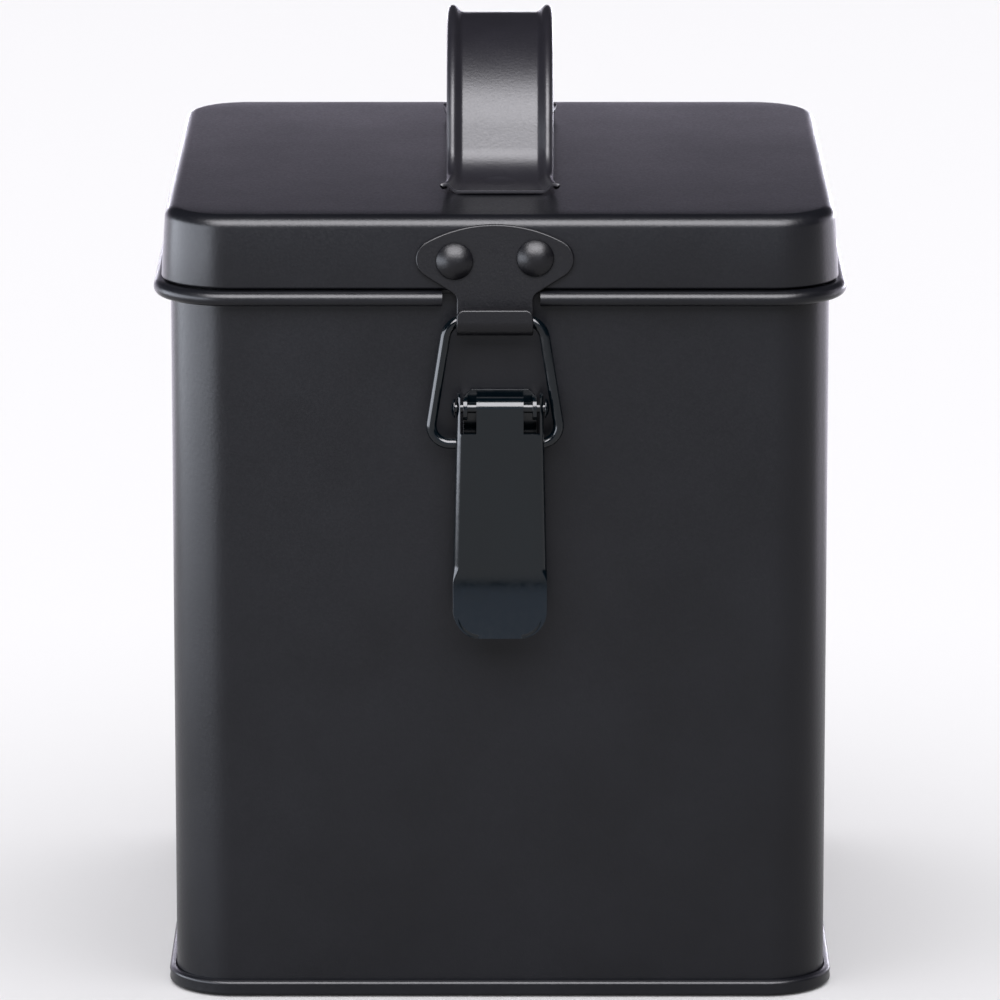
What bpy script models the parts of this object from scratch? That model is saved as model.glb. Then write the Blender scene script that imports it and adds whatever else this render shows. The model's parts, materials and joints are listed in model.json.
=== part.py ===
"""Metal lunch box: a tall square tin with a hinged lid, a strap handle and a draw latch.

Run with Blender 4.5: blender --background --python part.py
Units are metres and +Z is up. The origin is on the ground under the middle of the whole outline,
-Y is the front, where the latch is, and +X is to the right when the latch is looked at.

The box is built the way the tin is made. A sheet wall with a curled rim is seamed to a base panel,
a collar inside the mouth guides the lid, two leaf hinges join the lid at the rear, and a wire bail
on a lever pulls down the catch plate that is riveted to the lid.
"""
import math

import bmesh
import bpy
from mathutils import Matrix, Vector

MM = 0.001

# ---- driving dimensions ----------------------------------------------------------------------
BODY_W = 130.0 * MM          # outside width and depth of the wall
CORNER_R = 12.0 * MM         # outside radius of the wall's upright corners
SHEET = 0.5 * MM             # sheet of the wall, the lid, the base and the collar
GAP = 0.3 * MM               # clearance between pieces that touch on the real box
BOX_Y = 1.3 * MM             # the wall's centre, so that the whole outline is centred on the origin
CORNER_STEPS = 6             # segments in each upright corner
RIVETED_PLATE = 0.8 * MM     # sheet of every riveted plate
RIVET_HOLE_R = 1.6 * MM
RIVET_TAIL_H = 0.7 * MM
HOLE_LENGTH = 5.0 * MM       # length of the tools that drill through one sheet or plate
TOOL_LENGTH = 40.0 * MM      # length of the tools that cut a piece's outline

# Rivets: radius and height of the head, radius of the tail.
CATCH_RIVET = (3.65 * MM, 1.8 * MM, 2.6 * MM)
LATCH_RIVET = (2.6 * MM, 1.0 * MM, 2.4 * MM)
HINGE_RIVET = (2.2 * MM, 1.0 * MM, 2.2 * MM)

RIM_TOP = 143.8 * MM         # top of the curled rim, on which the lid rests
RIM_R = 1.5 * MM             # outside radius of the curl
RIM_OUT = 3.4 * MM           # how far the curl stands out from the wall
RIM_SHOULDER_R = 0.6 * MM    # bend where the wall turns out into the curl
SEAM_OUT = 1.45 * MM         # how far the bottom seam stands out from the wall
SEAM_H = 3.1 * MM            # height of the bottom seam
SEAM_BEND = 0.8 * MM
PANEL_Z = 2.7 * MM           # underside of the base panel, set up inside the seam
PANEL_RIM = 6.0 * MM         # width of the panel's edge strip

LID_TOP = 158.6 * MM
LID_OUT_LOW = 1.8 * MM       # lid skirt's overhang past the wall, at its lower edge
LID_OUT_HIGH = 1.1 * MM      # and below its top edge
LID_EDGE_R = 2.0 * MM        # rounding between the skirt and the top
HEM_R = 0.55 * MM            # outside radius of the hem at the skirt's lower edge
HEM_H = 3.2 * MM             # height of the hem's turned-in layer

COLLAR_LOW = 136.6 * MM
COLLAR_HIGH = 149.3 * MM
COLLAR_LEAD = 1.2 * MM       # height of the edge that leans in to lead the lid on
COLLAR_LEAN = 0.5 * MM

HANDLE_Y = 2.4 * MM          # handle's centre, behind the wall's centre
HANDLE_RISE = 28.8 * MM      # top of the flat strip above the lid
HANDLE_SHEET = 0.6 * MM
HANDLE_TAB = 9.5 * MM        # flat length of each foot
HANDLE_FOOT_R = 8.6 * MM     # hollow bend above each foot
HANDLE_ARCH_R = 29.0 * MM    # arch radius
HANDLE_SLOPE = 69.0          # steepest slope of a leg, in degrees
HANDLE_FLAT = 7.3 * MM       # half width of the flat between the edge beads
HANDLE_BEAD_HALF = 1.7 * MM  # half width of each edge bead
HANDLE_BEAD_H = 1.45 * MM
HANDLE_FLARE = 1.2 * MM      # extra half width at the tips of the feet
HANDLE_FLARE_LENGTH = 11.0 * MM

CATCH_X = -1.0 * MM          # the catch and bail sit a little left of the lever, as assembled
CATCH_T = RIVETED_PLATE
CATCH_TOP = 157.1 * MM
CATCH_NECK = 7.5 * MM        # half width of the neck and hook
CATCH_NECK_Z = 143.0 * MM
LOBE_X = 11.6 * MM           # lobes on both sides of the catch plate, round the rivets
LOBE_Z = 150.2 * MM
LOBE_R = 3.9 * MM
CATCH_RIVET_X = 7.9 * MM
CATCH_RIVET_STEP = 0.3 * MM  # the right rivet sits this much above the middle, the left one below
HOOK_ROOM = 4.4 * MM         # clear width of the hook
HOOK_Z = 138.5 * MM          # centre of the hook's fold
LIP_TOP = 140.9 * MM
LIP_CORNER = 1.4 * MM
NOTCH_X = -1.7 * MM          # gap in the curled rim, through which the catch passes
NOTCH_HALF = 9.6 * MM

PIN_R = 1.05 * MM            # lever pin
PIN_Z = 121.2 * MM
PIN_OUT = 5.3 * MM           # pin axis in front of the wall
PIN_HEAD_R = 2.0 * MM
PIN_HEAD_H = 0.9 * MM
BAIL_R = 1.05 * MM           # wire radius
BAIL_TOP_Z = 138.6 * MM
BAIL_LOW_Z = 113.9 * MM
BAIL_BACK = 0.7 * MM         # bail pivot behind the lever pin: the latch locks past centre
BAIL_TOP_HALF = 9.2 * MM
BAIL_LOW_HALF = 13.1 * MM
BAIL_TOP_BEND = 4.0 * MM
BAIL_LOW_BEND = 3.6 * MM

LEVER_T = 0.8 * MM
LEVER_TOP_HALF = 8.5 * MM    # half width at the pin
LEVER_LOW_HALF = 9.25 * MM   # half width at the tab
LEVER_DEPTH = 5.2 * MM       # depth of the side flanges
LEVER_BEND_Z = 87.0 * MM     # where the tab starts
LEVER_LOW_Z = 75.6 * MM
TAB_OUT = 2.2 * MM           # how far the tab kicks out
TAB_CORNER_R = 5.5 * MM
TONGUE_HALF = 4.6 * MM
SLOT_LOW_Z = 116.3 * MM      # lower end of the two corner slots
FLANGE_EAR_R = 3.0 * MM

BASE_T = RIVETED_PLATE
BASE_HALF = 7.2 * MM
BASE_TOP_Z = 124.0 * MM
BASE_TOP_HALF = 5.6 * MM
BASE_LOW_Z = 92.0 * MM
BASE_CORNER_R = 3.0 * MM
EAR_R = 2.4 * MM
LATCH_RIVETS_Z = (108.0 * MM, 97.0 * MM)

HINGE_X = 35.0 * MM          # each rear hinge's distance from the middle
HINGE_HALF = 10.0 * MM
HINGE_T = RIVETED_PLATE
HINGE_PIN_R = 1.0 * MM
HINGE_HEAD_R = 1.6 * MM
HINGE_HEAD_H = 0.5 * MM
HINGE_Z = 143.4 * MM
KNUCKLE_HALF = 3.4 * MM      # half width of the lid leaf's middle knuckle
KNUCKLE_CLEAR = 0.4 * MM
LEAF_LOW_Z = 126.5 * MM
LEAF_HIGH_Z = 155.0 * MM
LEAF_RIVET_X = 6.0 * MM
LEAF_RIVET_LOW_Z = 131.0 * MM
LEAF_RIVET_HIGH_Z = 150.4 * MM


FRONT_Y = BOX_Y - BODY_W / 2
REAR_Y = BOX_Y + BODY_W / 2
LID_LOW_Z = RIM_TOP + GAP
LID_SIDE_TOP_Z = LID_TOP - LID_EDGE_R
LID_DRAFT = math.atan2(LID_OUT_LOW - LID_OUT_HIGH, LID_SIDE_TOP_Z - LID_LOW_Z)
PIN_Y = FRONT_Y - PIN_OUT
KNUCKLE_R = HINGE_PIN_R + GAP + HINGE_T
HINGE_Y = REAR_Y + LID_OUT_LOW + GAP + KNUCKLE_R

BLACK = (0.020, 0.021, 0.025, 1.0)
GLOSS_BLACK = (0.012, 0.014, 0.017, 1.0)
INSIDE_BLACK = (0.024, 0.024, 0.027, 1.0)

parts = bpy.data.collections.new("metal_lunch_box")
cutters = bpy.data.collections.new("cutters")


# ---- helpers ---------------------------------------------------------------------------------
def clear_scene():
    for obj in list(bpy.data.objects):
        bpy.data.objects.remove(obj, do_unlink=True)
    for collection in (parts, cutters):
        bpy.context.scene.collection.children.link(collection)


def finish_part(obj, name, colour=BLACK, roughness=0.45, metallic=0.0):
    """Name a piece and give it its own coat of paint."""
    obj.name = name
    coat = bpy.data.materials.new(name + "_coat")
    coat.use_nodes = True
    shader = coat.node_tree.nodes["Principled BSDF"]
    shader.inputs["Base Color"].default_value = colour
    shader.inputs["Roughness"].default_value = roughness
    shader.inputs["Metallic"].default_value = metallic
    obj.data.materials.clear()
    obj.data.materials.append(coat)
    return obj


def smooth(obj, angle=35.0):
    obj.data.shade_smooth()
    obj.data.set_sharp_from_angle(angle=math.radians(angle))
    return obj


def mesh_object(bm, name, collection=None):
    mesh = bpy.data.meshes.new(name)
    bm.to_mesh(mesh)
    bm.free()
    obj = bpy.data.objects.new(name, mesh)
    (collection or parts).objects.link(obj)
    return obj


def as_cutter(obj):
    """Keep a tool solid out of the model: hidden from renders and drawn as wire."""
    for collection in list(obj.users_collection):
        collection.objects.unlink(obj)
    cutters.objects.link(obj)
    obj.hide_render = True
    obj.display_type = "WIRE"
    return obj


def attach(obj, parent):
    """Parent an object without moving it."""
    bpy.context.view_layer.update()
    place = obj.matrix_world.copy()
    obj.parent = parent
    obj.matrix_world = place


def boolean(obj, tool, operation):
    as_cutter(tool)
    attach(tool, obj)
    modifier = obj.modifiers.new(operation.lower() + "_" + tool.name, "BOOLEAN")
    modifier.operation = operation
    modifier.solver = "EXACT"
    modifier.object = tool
    return obj


def box_tool(low, high):
    """A box between two corners."""
    bm = bmesh.new()
    bmesh.ops.create_cube(bm, size=1.0)
    for vert in bm.verts:
        vert.co = [a + (b - a) * (c + 0.5) for a, b, c in zip(low, high, vert.co)]
    return mesh_object(bm, "box_tool")


def rivet_hole(x, y, z):
    """A round bar along Y, the drill for a rivet's hole."""
    bpy.ops.mesh.primitive_cylinder_add(vertices=12, radius=RIVET_HOLE_R, depth=HOLE_LENGTH,
                                        location=(x, y, z), rotation=(math.pi / 2, 0, 0))
    return bpy.context.object


def pin_hole(y, z, radius, x_centre, length):
    """A round bar along X, the drill for a pin's hole."""
    bpy.ops.mesh.primitive_cylinder_add(vertices=16, radius=radius, depth=length,
                                        location=(x_centre, y, z), rotation=(0, math.pi / 2, 0))
    return bpy.context.object


def arc(centre, radius, start, end, steps):
    """Points on an arc, from the start angle to the end angle in degrees."""
    turns = [math.radians(start + (end - start) * i / steps) for i in range(steps + 1)]
    return [(centre[0] + radius * math.cos(a), centre[1] + radius * math.sin(a)) for a in turns]


def thicken(path, thickness):
    """The closed outline of a folded strip that follows an open path down its middle."""
    sides = ([], [])
    last = len(path) - 1
    for i, (px, py) in enumerate(path):
        before = path[max(i - 1, 0)]
        after = path[min(i + 1, last)]
        into = math.atan2(py - before[1], px - before[0]) if i else None
        out = math.atan2(after[1] - py, after[0] - px) if i < last else None
        into = out if into is None else into
        out = into if out is None else out
        half_turn = math.remainder(out - into, 2 * math.pi) / 2
        normal = into + half_turn + math.pi / 2
        reach = thickness / 2 / math.cos(half_turn)
        for side, sign in zip(sides, (1, -1)):
            side.append((px + sign * reach * math.cos(normal), py + sign * reach * math.sin(normal)))
    return sides[0] + sides[1][::-1]


def flat_curve(outline, half_thickness):
    """A filled, extruded 2D curve in its own XY plane."""
    curve = bpy.data.curves.new("outline", "CURVE")
    curve.dimensions = "2D"
    curve.fill_mode = "BOTH"
    curve.extrude = half_thickness
    spline = curve.splines.new("POLY")
    spline.points.add(len(outline) - 1)
    for point, (x, y) in zip(spline.points, outline):
        point.co = (x, y, 0.0, 1.0)
    spline.use_cyclic_u = True
    obj = bpy.data.objects.new("outline", curve)
    parts.objects.link(obj)
    return obj


def curve_to_mesh(obj):
    """Turn a curve into a closed mesh object in the same place."""
    bpy.context.view_layer.update()
    evaluated = obj.evaluated_get(bpy.context.evaluated_depsgraph_get())
    mesh = bpy.data.meshes.new_from_object(evaluated)
    bm = bmesh.new()
    bm.from_mesh(mesh)
    bmesh.ops.remove_doubles(bm, verts=bm.verts, dist=1e-6)
    bmesh.ops.recalc_face_normals(bm, faces=bm.faces)
    bm.to_mesh(mesh)
    bm.free()
    solid = bpy.data.objects.new(obj.name, mesh)
    parts.objects.link(solid)
    solid.matrix_world = obj.matrix_world
    bpy.data.objects.remove(obj, do_unlink=True)
    return solid


def side_profile(outline, x_centre, width):
    """Extrude an outline given in (Y, Z) along X."""
    obj = flat_curve(outline, width / 2)
    obj.rotation_euler = (math.pi / 2, 0, math.pi / 2)
    obj.location = (x_centre, 0, 0)
    return curve_to_mesh(obj)


def front_profile(outline, x_centre, y_centre, thickness):
    """Extrude an outline given in (X, Z) along Y."""
    obj = flat_curve(outline, thickness / 2)
    obj.rotation_euler = (math.pi / 2, 0, 0)
    obj.location = (x_centre, y_centre, 0)
    return curve_to_mesh(obj)


def wall_loop(bm, out, z):
    """A rounded square round the box, its sides standing out from the wall by a distance."""
    half = BODY_W / 2 + out
    radius = CORNER_R + out
    loop = []
    for quarter in range(4):
        start = 90.0 * quarter - 90.0
        middle = math.radians(start + 45.0)
        reach = (half - radius) * math.sqrt(2)
        centre = (reach * math.cos(middle), BOX_Y + reach * math.sin(middle))
        for x, y in arc(centre, radius, start, start + 90.0, CORNER_STEPS):
            loop.append(bm.verts.new((x, y, z)))
    return loop


def sheet_round_box(name, profile, close_first=False, close_last=False):
    """Bend sheet metal round the box: a profile of (outward distance, height) on the sheet's
    outer face, joined ring by ring, with the thickness on the inner side."""
    bm = bmesh.new()
    loops = [wall_loop(bm, out, z) for out, z in profile]
    for lower, upper in zip(loops, loops[1:]):
        for i in range(len(lower)):
            j = (i + 1) % len(lower)
            bm.faces.new((lower[i], lower[j], upper[j], upper[i]))
    if close_first:
        bm.faces.new(loops[0][::-1])
    if close_last:
        bm.faces.new(loops[-1])
    obj = mesh_object(bm, name)
    thickness = obj.modifiers.new("sheet", "SOLIDIFY")
    thickness.thickness = SHEET
    thickness.offset = -1.0
    thickness.use_even_offset = True
    return obj


def rivet(name, x, y, z, facing, sizes):
    """A dome-headed rivet along Y. The head's underside is at y and faces -1 or 1 along Y, and
    the flat tail is on the other side of a plate and the sheet behind it."""
    head_r, head_h, tail_r = sizes
    grip = RIVETED_PLATE + SHEET + 3 * GAP
    shank_r = RIVET_HOLE_R - GAP
    dome_r = (head_r ** 2 + head_h ** 2) / (2 * head_h)
    rim = math.degrees(math.asin(head_r / dome_r))
    profile = arc((0, head_h - dome_r), dome_r, 90.0, 90.0 - rim, 4)
    profile += [(shank_r, 0), (shank_r, -grip), (tail_r, -grip)]
    profile += [(tail_r, -grip - RIVET_TAIL_H), (0, -grip - RIVET_TAIL_H)]
    obj = turned(name, profile, 12)
    obj.rotation_euler = (-facing * math.pi / 2, 0, 0)
    obj.location = (x, y, z)
    return obj


def turned(name, profile, steps):
    """A turned solid about its own Z axis, from a profile of (radius, height), top to bottom."""
    bm = bmesh.new()
    verts = [bm.verts.new((radius, 0, height)) for radius, height in profile]
    for upper, lower in zip(verts, verts[1:]):
        bm.edges.new((upper, lower))
    obj = mesh_object(bm, name)
    screw = obj.modifiers.new("turn", "SCREW")
    screw.steps = steps
    screw.render_steps = steps
    screw.use_merge_vertices = True
    screw.merge_threshold = 0.00001
    screw.use_smooth_shade = True
    return obj


def rounded_loop(corners, bends, steps):
    """A closed outline through corners, each rounded with its own bend radius."""
    points = []
    for i, (corner, bend) in enumerate(zip(corners, bends)):
        into = unit(corners[i - 1], corner)
        out = unit(corner, corners[(i + 1) % len(corners)])
        turn = math.atan2(into[0] * out[1] - into[1] * out[0], into[0] * out[0] + into[1] * out[1])
        reach = bend * math.tan(abs(turn) / 2)
        side = math.copysign(1.0, turn)
        start = (corner[0] - into[0] * reach, corner[1] - into[1] * reach)
        centre = (start[0] - side * into[1] * bend, start[1] + side * into[0] * bend)
        first = math.degrees(math.atan2(start[1] - centre[1], start[0] - centre[0]))
        points += arc(centre, bend, first, first + math.degrees(turn), steps)
    return points


def unit(start, end):
    length = math.hypot(end[0] - start[0], end[1] - start[1])
    return ((end[0] - start[0]) / length, (end[1] - start[1]) / length)


# ---- the box ---------------------------------------------------------------------------------
def build_body_shell():
    """The wrapped wall. Its rim bends out and curls over into a round bead."""
    inner_r = RIM_R - SHEET
    curl = (RIM_OUT - RIM_R, RIM_TOP - RIM_R)
    under_rim = RIM_TOP - SHEET
    bend = (RIM_SHOULDER_R, under_rim - RIM_SHOULDER_R)
    profile = [(0, SHEET + GAP)]
    profile += arc(bend, RIM_SHOULDER_R, 180.0, 90.0, 3)
    profile += arc(curl, inner_r, 90.0, -150.0, 9)
    shell = sheet_round_box("body_shell", profile)
    clear = GAP / 2
    low_z = RIM_TOP - 2 * RIM_R - GAP
    boolean(shell, box_tool((NOTCH_X - NOTCH_HALF, FRONT_Y - 3 * RIM_OUT, low_z),
                            (NOTCH_X + NOTCH_HALF, FRONT_Y - clear, RIM_TOP + GAP)), "DIFFERENCE")
    for side in (-1, 1):
        middle = side * HINGE_X
        half = HINGE_HALF + HINGE_HEAD_H + 2 * GAP
        boolean(shell, box_tool((middle - half, REAR_Y + clear, low_z),
                                (middle + half, REAR_Y + 3 * RIM_OUT, RIM_TOP + GAP)), "DIFFERENCE")
        for x in (middle - LEAF_RIVET_X, middle + LEAF_RIVET_X):
            boolean(shell, rivet_hole(x, REAR_Y, LEAF_RIVET_LOW_Z), "DIFFERENCE")
    for z in LATCH_RIVETS_Z:
        boolean(shell, rivet_hole(0, FRONT_Y, z), "DIFFERENCE")
    return finish_part(smooth(shell), "body_shell")


def build_rim_collar():
    """A strip fixed inside the mouth, standing up into the lid to guide it."""
    out = -SHEET - GAP
    profile = [(out, COLLAR_LOW), (out, COLLAR_HIGH - COLLAR_LEAD), (out - COLLAR_LEAN, COLLAR_HIGH)]
    return finish_part(smooth(sheet_round_box("rim_collar", profile)), "rim_collar", INSIDE_BLACK)


def build_base_panel():
    """The bottom: a panel set up inside the seam, whose edge wraps under and round the wall."""
    inner = -SHEET - GAP - SHEET
    bend = SEAM_BEND
    profile = [(inner - PANEL_RIM, PANEL_Z)]
    profile += arc((inner - bend, PANEL_Z - bend), bend, 90.0, 0.0, 3)
    profile += arc((inner + bend, bend), bend, 180.0, 270.0, 3)
    profile += arc((SEAM_OUT - bend, bend), bend, -90.0, 0.0, 3)
    profile += arc((SEAM_OUT - bend, SEAM_H - bend), bend, 0.0, 90.0, 3)
    profile.append((GAP, SEAM_H))
    panel = sheet_round_box("base_panel", profile, close_first=True)
    return finish_part(smooth(panel), "base_panel")


# ---- the lid ---------------------------------------------------------------------------------
def build_lid_shell():
    """A drawn lid: flat top, rounded edge, slightly flared skirt and a hem turned inwards."""
    hem_out = LID_OUT_LOW - HEM_R
    profile = [(hem_out - HEM_R, LID_LOW_Z + HEM_H)]
    profile += arc((hem_out, LID_LOW_Z + HEM_R), HEM_R, 180.0, 360.0, 6)
    profile += arc((LID_OUT_HIGH - LID_EDGE_R, LID_SIDE_TOP_Z), LID_EDGE_R, 0.0, 90.0, 5)
    lid = sheet_round_box("lid_shell", profile, close_last=True)
    for side in (-1, 1):
        x = CATCH_X + side * CATCH_RIVET_X
        z = LOBE_Z + side * CATCH_RIVET_STEP
        boolean(lid, rivet_hole(x, FRONT_Y - LID_OUT_HIGH, z), "DIFFERENCE")
        for x in (side * HINGE_X - LEAF_RIVET_X, side * HINGE_X + LEAF_RIVET_X):
            hole = rivet_hole(x, REAR_Y + LID_OUT_HIGH, LEAF_RIVET_HIGH_Z)
            boolean(lid, hole, "DIFFERENCE")
    return finish_part(smooth(lid), "lid_shell")


def handle_path():
    """Half of the handle's side view, from the tip of a foot to the top of the arch, as
    (distance from the middle, height, slope in degrees)."""
    slope = math.radians(HANDLE_SLOPE)
    foot_h = GAP + HANDLE_SHEET
    bend_h = foot_h + HANDLE_FOOT_R * (1 - math.cos(slope))
    arch_h = HANDLE_RISE - HANDLE_ARCH_R * (1 - math.cos(slope))
    arch_y = HANDLE_ARCH_R * math.sin(slope)
    leg_y = arch_y + (arch_h - bend_h) / math.tan(slope)
    heel_y = leg_y + HANDLE_FOOT_R * math.sin(slope)
    stations = [(heel_y + HANDLE_TAB, foot_h, 0.0)]
    for i in range(6):
        turn = slope * i / 5
        y = heel_y - HANDLE_FOOT_R * math.sin(turn)
        stations.append((y, foot_h + HANDLE_FOOT_R * (1 - math.cos(turn)), math.degrees(turn)))
    for i in range(9):
        turn = slope * (1 - i / 8)
        y = HANDLE_ARCH_R * math.sin(turn)
        height = HANDLE_RISE - HANDLE_ARCH_R * (1 - math.cos(turn))
        stations.append((y, height, math.degrees(turn)))
    return stations


def build_handle_strap():
    """A pressed strap with a half-round bead along each edge, spot-welded to the lid."""
    half = handle_path()
    front = [(-y, height, slope) for y, height, slope in half]
    rear = [(y, height, -slope) for y, height, slope in half[-2::-1]]
    tip = half[0][0]
    bm = bmesh.new()
    rows = []
    for y, height, slope in front + rear:
        foot = max(0.0, 1.0 - (tip - abs(y)) / HANDLE_FLARE_LENGTH)
        flat = HANDLE_FLAT + HANDLE_FLARE * foot ** 2
        bead = arc((0, 0), 1.0, 150.0, 0.0, 5)
        right = [(flat, 0.0)]
        right += [(flat + HANDLE_BEAD_HALF * (1 + u), HANDLE_BEAD_H * v) for u, v in bead]
        right.append((flat + 2 * HANDLE_BEAD_HALF, -0.3 * MM))
        section = [(-x, rise) for x, rise in right[::-1]] + right
        tilt = math.radians(slope)
        base = LID_TOP + height
        rows.append([bm.verts.new((x, BOX_Y + HANDLE_Y + y - rise * math.sin(tilt),
                                   base + rise * math.cos(tilt))) for x, rise in section])
    for near, far in zip(rows, rows[1:]):
        for i in range(len(near) - 1):
            bm.faces.new((near[i], near[i + 1], far[i + 1], far[i]))
    strap = mesh_object(bm, "handle_strap")
    sheet = strap.modifiers.new("sheet", "SOLIDIFY")
    sheet.thickness = HANDLE_SHEET
    sheet.offset = -1.0
    sheet.use_even_offset = True
    return finish_part(smooth(strap, 50.0), "handle_strap")


# ---- the catch on the lid --------------------------------------------------------------------
def catch_front_outline():
    """Front view of the catch plate: an arched top, two round lobes, a neck and the hook."""
    rise = CATCH_TOP - LOBE_Z
    arch_r = (LOBE_X ** 2 + rise ** 2 - LOBE_R ** 2) / (2 * (rise - LOBE_R))
    arch_z = CATCH_TOP - arch_r
    lobe_turn = math.degrees(math.atan2(LOBE_Z - arch_z, LOBE_X))
    points = arc((0, arch_z), arch_r, 90.0, lobe_turn, 5)
    to_neck = (CATCH_NECK - LOBE_X, CATCH_NECK_Z - LOBE_Z)
    reach = math.hypot(*to_neck)
    tangent = math.degrees(math.atan2(to_neck[1], to_neck[0]) + math.acos(LOBE_R / reach))
    points += arc((LOBE_X, LOBE_Z), LOBE_R, lobe_turn, tangent, 6)[1:]
    low_z = HOOK_Z - HOOK_ROOM
    points += [(CATCH_NECK, CATCH_NECK_Z), (CATCH_NECK, low_z)]
    return points + [(-x, z) for x, z in points[::-1] if x > 0]


def build_catch_plate():
    """The catch: a plate riveted to the lid's front, folded up at the bottom into a hook."""
    back = FRONT_Y - LID_OUT_LOW - GAP
    middle = back - CATCH_T / 2
    fold_r = HOOK_ROOM / 2 + CATCH_T / 2
    path = [(middle, CATCH_TOP + CATCH_T)]
    path += arc((middle - fold_r, HOOK_Z), fold_r, 0.0, -180.0, 8)
    path.append((middle - 2 * fold_r, LIP_TOP))
    plate = side_profile(thicken(path, CATCH_T), CATCH_X, 4 * LOBE_X)
    outline = front_profile(catch_front_outline(), CATCH_X, middle, TOOL_LENGTH)
    boolean(plate, outline, "INTERSECT")
    lip_y = middle - 2 * fold_r
    for side in (-1, 1):
        corner = box_tool((-LIP_CORNER, -CATCH_T, -LIP_CORNER), (LIP_CORNER, CATCH_T, LIP_CORNER))
        corner.rotation_euler = (0, math.pi / 4, 0)
        corner.location = (CATCH_X + side * (CATCH_NECK + GAP), lip_y, LIP_TOP + GAP)
        boolean(plate, corner, "DIFFERENCE")
    for side in (-1, 1):
        x = CATCH_X + side * CATCH_RIVET_X
        z = LOBE_Z + side * CATCH_RIVET_STEP
        boolean(plate, rivet_hole(x, middle, z), "DIFFERENCE")
    lean_with_lid(plate, -1)
    return finish_part(smooth(plate), "catch_plate", GLOSS_BLACK, 0.4)


def lean_with_lid(obj, side):
    """Tilt an object about the skirt's lower edge, so that it lies along the flared skirt.
    The side is -1 at the front and 1 at the rear."""
    bpy.context.view_layer.update()
    pivot = Vector((0, BOX_Y + side * (BODY_W / 2 + LID_OUT_LOW), LID_LOW_Z))
    turn = Matrix.Rotation(side * LID_DRAFT, 4, "X")
    obj.matrix_world = Matrix.Translation(pivot) @ turn @ Matrix.Translation(-pivot) @ obj.matrix_world


def build_catch_rivets():
    head_y = FRONT_Y - LID_OUT_LOW - 2 * GAP - CATCH_T
    for name, side in (("catch_rivet_left", -1), ("catch_rivet_right", 1)):
        x = CATCH_X + side * CATCH_RIVET_X
        z = LOBE_Z + side * CATCH_RIVET_STEP
        stud = rivet(name, x, head_y, z, -1, CATCH_RIVET)
        lean_with_lid(stud, -1)
        finish_part(stud, name, GLOSS_BLACK, 0.35)


# ---- the draw latch on the wall --------------------------------------------------------------
def build_latch_base():
    """The base plate, with two ears bent forward to hold the lever pin."""
    middle = FRONT_Y - GAP - BASE_T / 2
    shoulder = BASE_HALF - BASE_TOP_HALF
    right = [(BASE_TOP_HALF, BASE_TOP_Z), (BASE_HALF, BASE_TOP_Z - shoulder)]
    corner = (BASE_HALF - BASE_CORNER_R, BASE_LOW_Z + BASE_CORNER_R)
    right += arc(corner, BASE_CORNER_R, 0.0, -90.0, 4)
    outline = right + [(-x, z) for x, z in right[::-1]]
    base = front_profile(outline, 0, middle, BASE_T)
    for side in (-1, 1):
        ear = [(middle, PIN_Z - EAR_R - 0.8 * MM)]
        ear += arc((PIN_Y, PIN_Z), EAR_R, -90.0, -270.0, 10)
        ear.append((middle, PIN_Z + EAR_R - 1.2 * MM))
        tab = side_profile(ear, side * (BASE_HALF - BASE_T / 2), BASE_T)
        boolean(base, tab, "UNION")
    boolean(base, pin_hole(PIN_Y, PIN_Z, PIN_R + GAP, 0, 4 * BASE_HALF), "DIFFERENCE")
    for z in LATCH_RIVETS_Z:
        boolean(base, rivet_hole(0, middle, z), "DIFFERENCE")
    return finish_part(smooth(base), "latch_base", GLOSS_BLACK, 0.3)


def headed_pin(name, y, z, x_centre, half_length, radius, head_r, head_h):
    """A pin along X with a domed head at each end."""
    dome_r = (head_r ** 2 + head_h ** 2) / (2 * head_h)
    rim = math.degrees(math.asin(head_r / dome_r))
    top = half_length + head_h - dome_r
    end = arc((0, top), dome_r, 90.0, 90.0 - rim, 4)
    profile = end + [(radius, half_length), (radius, -half_length)]
    profile += [(r, -height) for r, height in end[::-1]]
    pin = turned(name, profile, 16)
    pin.rotation_euler = (0, math.pi / 2, 0)
    pin.location = (x_centre, y, z)
    return pin


def build_lever_pin():
    half = lever_half(PIN_Z) + GAP
    pin = headed_pin("lever_pin", PIN_Y, PIN_Z, 0, half, PIN_R, PIN_HEAD_R, PIN_HEAD_H)
    return finish_part(pin, "lever_pin", GLOSS_BLACK, 0.25)


def build_latch_rivets():
    head_y = FRONT_Y - 2 * GAP - BASE_T
    for name, z in zip(("latch_rivet_upper", "latch_rivet_lower"), LATCH_RIVETS_Z):
        stud = rivet(name, 0, head_y, z, -1, LATCH_RIVET)
        finish_part(stud, name, GLOSS_BLACK, 0.35)


def lever_half(z):
    """The lever's half width at a height: it widens evenly down to the tab."""
    share = (PIN_Z - z) / (PIN_Z - LEVER_BEND_Z)
    return LEVER_TOP_HALF + (LEVER_LOW_HALF - LEVER_TOP_HALF) * min(share, 1.0)


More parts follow.
